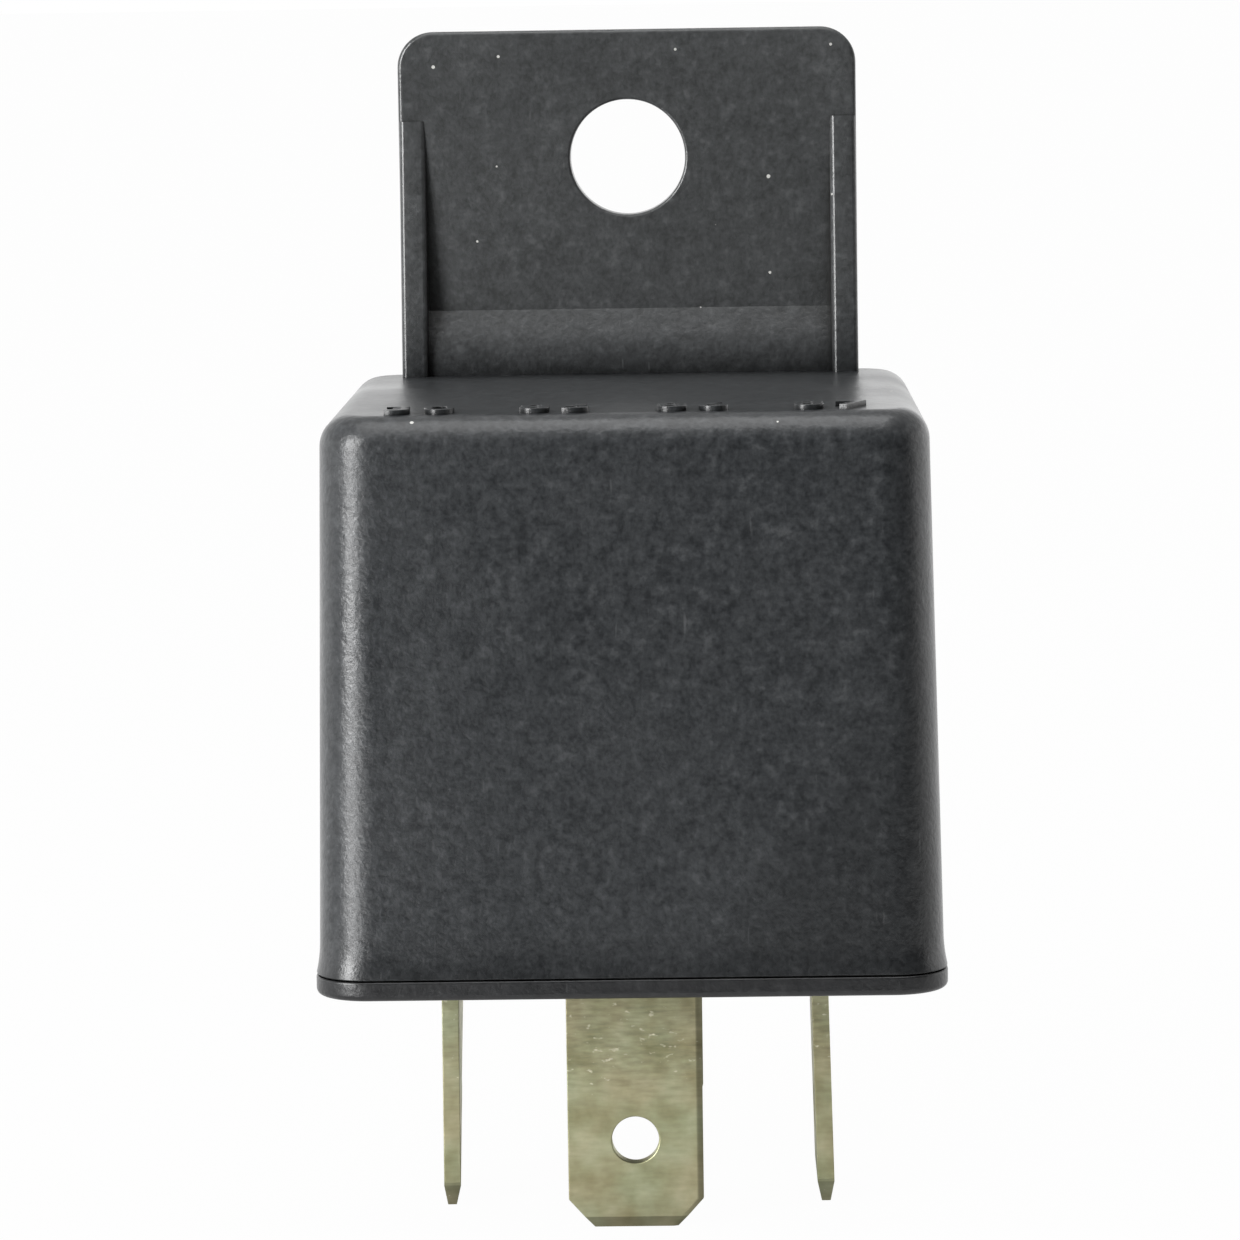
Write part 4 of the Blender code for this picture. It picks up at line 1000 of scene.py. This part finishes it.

# %% [markdown]
# ## The floor
# The relay stands on its blade tips on white paper. The camera sees the paper as plain white, and the glossy
# walls see a glow painted on it: bright close by and behind, dim towards the front, a painted shadow under
# the base, and one painted pool of lamp light at the front left, which the left corner mirrors near the base.

# %% What the walls mirror
FLOOR_Z = BLADE_TIP
FLOOR_REACH = 40000
DIM_Y, BRIGHT_Y = -115, -45
BEYOND_Y = 60
UNDER, CLEAR = 13, 19
POOL_AT = (-69, -85, FLOOR_Z)
POOL_CORE, POOL_RIM = 12, 50
POOL_GLOW = 14.0
WHITE = (1, 1, 1, 1)
corners = np.array([(-1, -1), (1, -1), (1, 1), (-1, 1)]) * FLOOR_REACH
floor = add_piece("floor", at_height(corners, FLOOR_Z), [[0, 1, 2, 3]])
paper = {"Roughness": 0.9, "Base_Color": "#a0a09e"}
white_floor, tree, shader, place = new_material("white_paper_floor", **paper)
# painted light for mirrored rays: a glow, dim in front and bright close by and behind
depth = add(tree, "SeparateXYZ", {"Vector": place})["Y"]
near = {"Value": depth, "From Min": DIM_Y * MM, "From Max": BRIGHT_Y * MM, "To Min": 0.04, "To Max": 0.9}
beyond = {"Value": depth, "From Min": 0.0, "From Max": BEYOND_Y * MM, "To Min": 0.0, "To Max": 0.5}
# a painted pool of lamp light at the front left
pool_at = (np.array(POOL_AT) * MM).tolist()
away = add(tree, "VectorMath", {0: place, 1: pool_at}, operation="DISTANCE")["Value"]
pool = {"Value": away, "From Min": POOL_CORE * MM, "From Max": POOL_RIM * MM}
pool |= {"To Min": POOL_GLOW, "To Max": 0.0}
near, beyond = (add(tree, "MapRange", band)[0] for band in (near, beyond))
pool = add(tree, "MapRange", pool, interpolation_type="SMOOTHSTEP")[0]
lit = add(tree, "Math", {0: near, 1: beyond}, operation="ADD")[0]
lit = add(tree, "Math", {0: lit, 1: pool}, operation="ADD")[0]
# a painted shadow under the base
reach = add(tree, "VectorMath", {0: place}, operation="LENGTH")["Value"]
shadow_under_base = {"Value": reach, "From Min": UNDER * MM, "From Max": CLEAR * MM, "To Min": 0.35, "To Max": 1.0}
shadow_under_base = add(tree, "MapRange", shadow_under_base)[0]
grey = add(tree, "Math", {0: lit, 1: shadow_under_base}, operation="MULTIPLY")[0]
mirrored = add(tree, "Emission", {"Color": WHITE, "Strength": grey})[0]
print("floor at", FLOOR_Z, "mm")

# %% [markdown]
# ### Paper for the camera
# A Light Path node tells the rays apart: those from the camera see glowing white paper with a trace of
# shadow, and mirrored ones see the painted glow of the floor. Plain white paper would be simpler, but black
# walls would mirror it as an even grey.

# %% Floor
PLAIN_WHITE = 0.98
path = add(tree, "LightPath")
glow = add(tree, "Emission", {"Color": WHITE, "Strength": 1.0})[0]
share = add(tree, "Math", {0: path["Is Camera Ray"], 1: PLAIN_WHITE}, operation="MULTIPLY")[0]
plain = add(tree, "MixShader", {0: share, 1: shader.outputs[0], 2: glow})[0]
seen = {0: path["Is Glossy Ray"], 1: path["Is Transmission Ray"]}
bounced = add(tree, "Math", seen, operation="MAXIMUM")[0]
mixed = add(tree, "MixShader", {0: bounced, 1: plain, 2: mirrored})[0]
feed(tree.nodes["Material Output"], {"Surface": mixed})
floor.data.materials.append(white_floor)
print("floor wears", white_floor.name)

# %% [markdown]
# ## The room
# Black plastic shows mostly what it mirrors. So the room is dark in front of the relay and bright behind it,
# which keeps the front black and gives the edges their pale rims. The camera itself sees plain white. A
# ready-made picture of a studio would be quicker, but its lamps would stand in other places.

# %% World
world = bpy.data.worlds.new("studio")
bpy.context.scene.world = world
world.use_nodes = True
tree = world.node_tree
way = add(tree, "SeparateXYZ", {"Vector": add(tree, "TexCoord")["Generated"]})
behind = {"Value": way["Y"], "From Min": -0.35, "From Max": 0.1, "To Min": 0.03, "To Max": 1.0}
behind = add(tree, "MapRange", behind, interpolation_type="SMOOTHSTEP")[0]
wall = {"Value": way["Z"], "From Min": 0.1, "From Max": 0.5, "To Min": 1.7, "To Max": 0.6}
wall = add(tree, "MapRange", wall)[0]
backdrop = add(tree, "Math", {0: behind, 1: wall}, operation="MULTIPLY")[0]
ceiling = {"Value": way["Z"], "From Min": 0.3, "From Max": 0.8, "To Min": 0.0, "To Max": 0.5}
ceiling = add(tree, "MapRange", ceiling, interpolation_type="SMOOTHSTEP")[0]
strength = add(tree, "Math", {0: backdrop, 1: ceiling}, operation="MAXIMUM")[0]
room = tree.nodes["Background"]
feed(room, {"Color": WHITE, "Strength": strength})
white = add(tree, "Background", {"Color": WHITE, "Strength": 1.0})[0]
camera_ray = add(tree, "LightPath")["Is Camera Ray"]
mixed = add(tree, "MixShader", {0: camera_ray, 1: room.outputs[0], 2: white})[0]
feed(tree.nodes["World Output"], {"Surface": mixed})
print("made the room", world.name)

# %% [markdown]
# ## The lamps
# A tall soft lamp at the front left draws the bright line down the left corner, and a wide one overhead
# lights the roof and the slope. Small lamps would be simpler to place, but they would mirror as dots.


# %% Lamps
def soft_lamp(name, place, aim, size, power):
    """A lamp of a width and height, at a place in millimetres, that faces a point."""
    data = bpy.data.lights.new(name, "AREA")
    data.shape = "RECTANGLE"
    data.size, data.size_y = np.array(size) * MM
    data.energy = power
    lamp = in_scene(name, data)
    facing = (Vector(aim) - Vector(place)).to_track_quat("-Z", "Y").to_matrix().to_4x4()
    lamp.matrix_world = Matrix.Translation(Vector(place) * MM) @ facing
    print("lamp", name, "at", place, "mm")


soft_lamp("tall_window", (-325, -283, 110), (0, 0, 12), (160, 380), 3.7)
soft_lamp("overhead", (0, -60, 440), (0, 0, 25), (360, 380), 1.0)

# %% [markdown]
# ## The camera
# The relay is seen from the front, a little from above and a little from the right, through a long lens. The
# place, the turn and the lens were fitted together to the corners of the cap, the tab and the blades. Aiming
# by eye would do for a picture, but a fit lets every edge fall where it should.

# %% Camera
CAMERA_AT = (3.655, -242.22, 45.07)
YAW, PITCH, ROLL_ANGLE = -0.0172, -0.1212, 0.0151
lens = bpy.data.cameras.new("camera")
lens.sensor_width = 36
lens.lens = 148.4
lens.clip_start = 0.01
lens.clip_end = 200
camera = in_scene("camera", lens)
turn = Matrix.Rotation(-YAW, 4, "Z") @ Matrix.Rotation(np.pi / 2 + PITCH, 4, "X")
turn = turn @ Matrix.Rotation(-ROLL_ANGLE, 4, "Z")
camera.matrix_world = Matrix.Translation(Vector(CAMERA_AT) * MM) @ turn
bpy.context.scene.camera = camera
bpy.context.scene.view_settings.view_transform = "Standard"
print("camera at", CAMERA_AT, "mm")
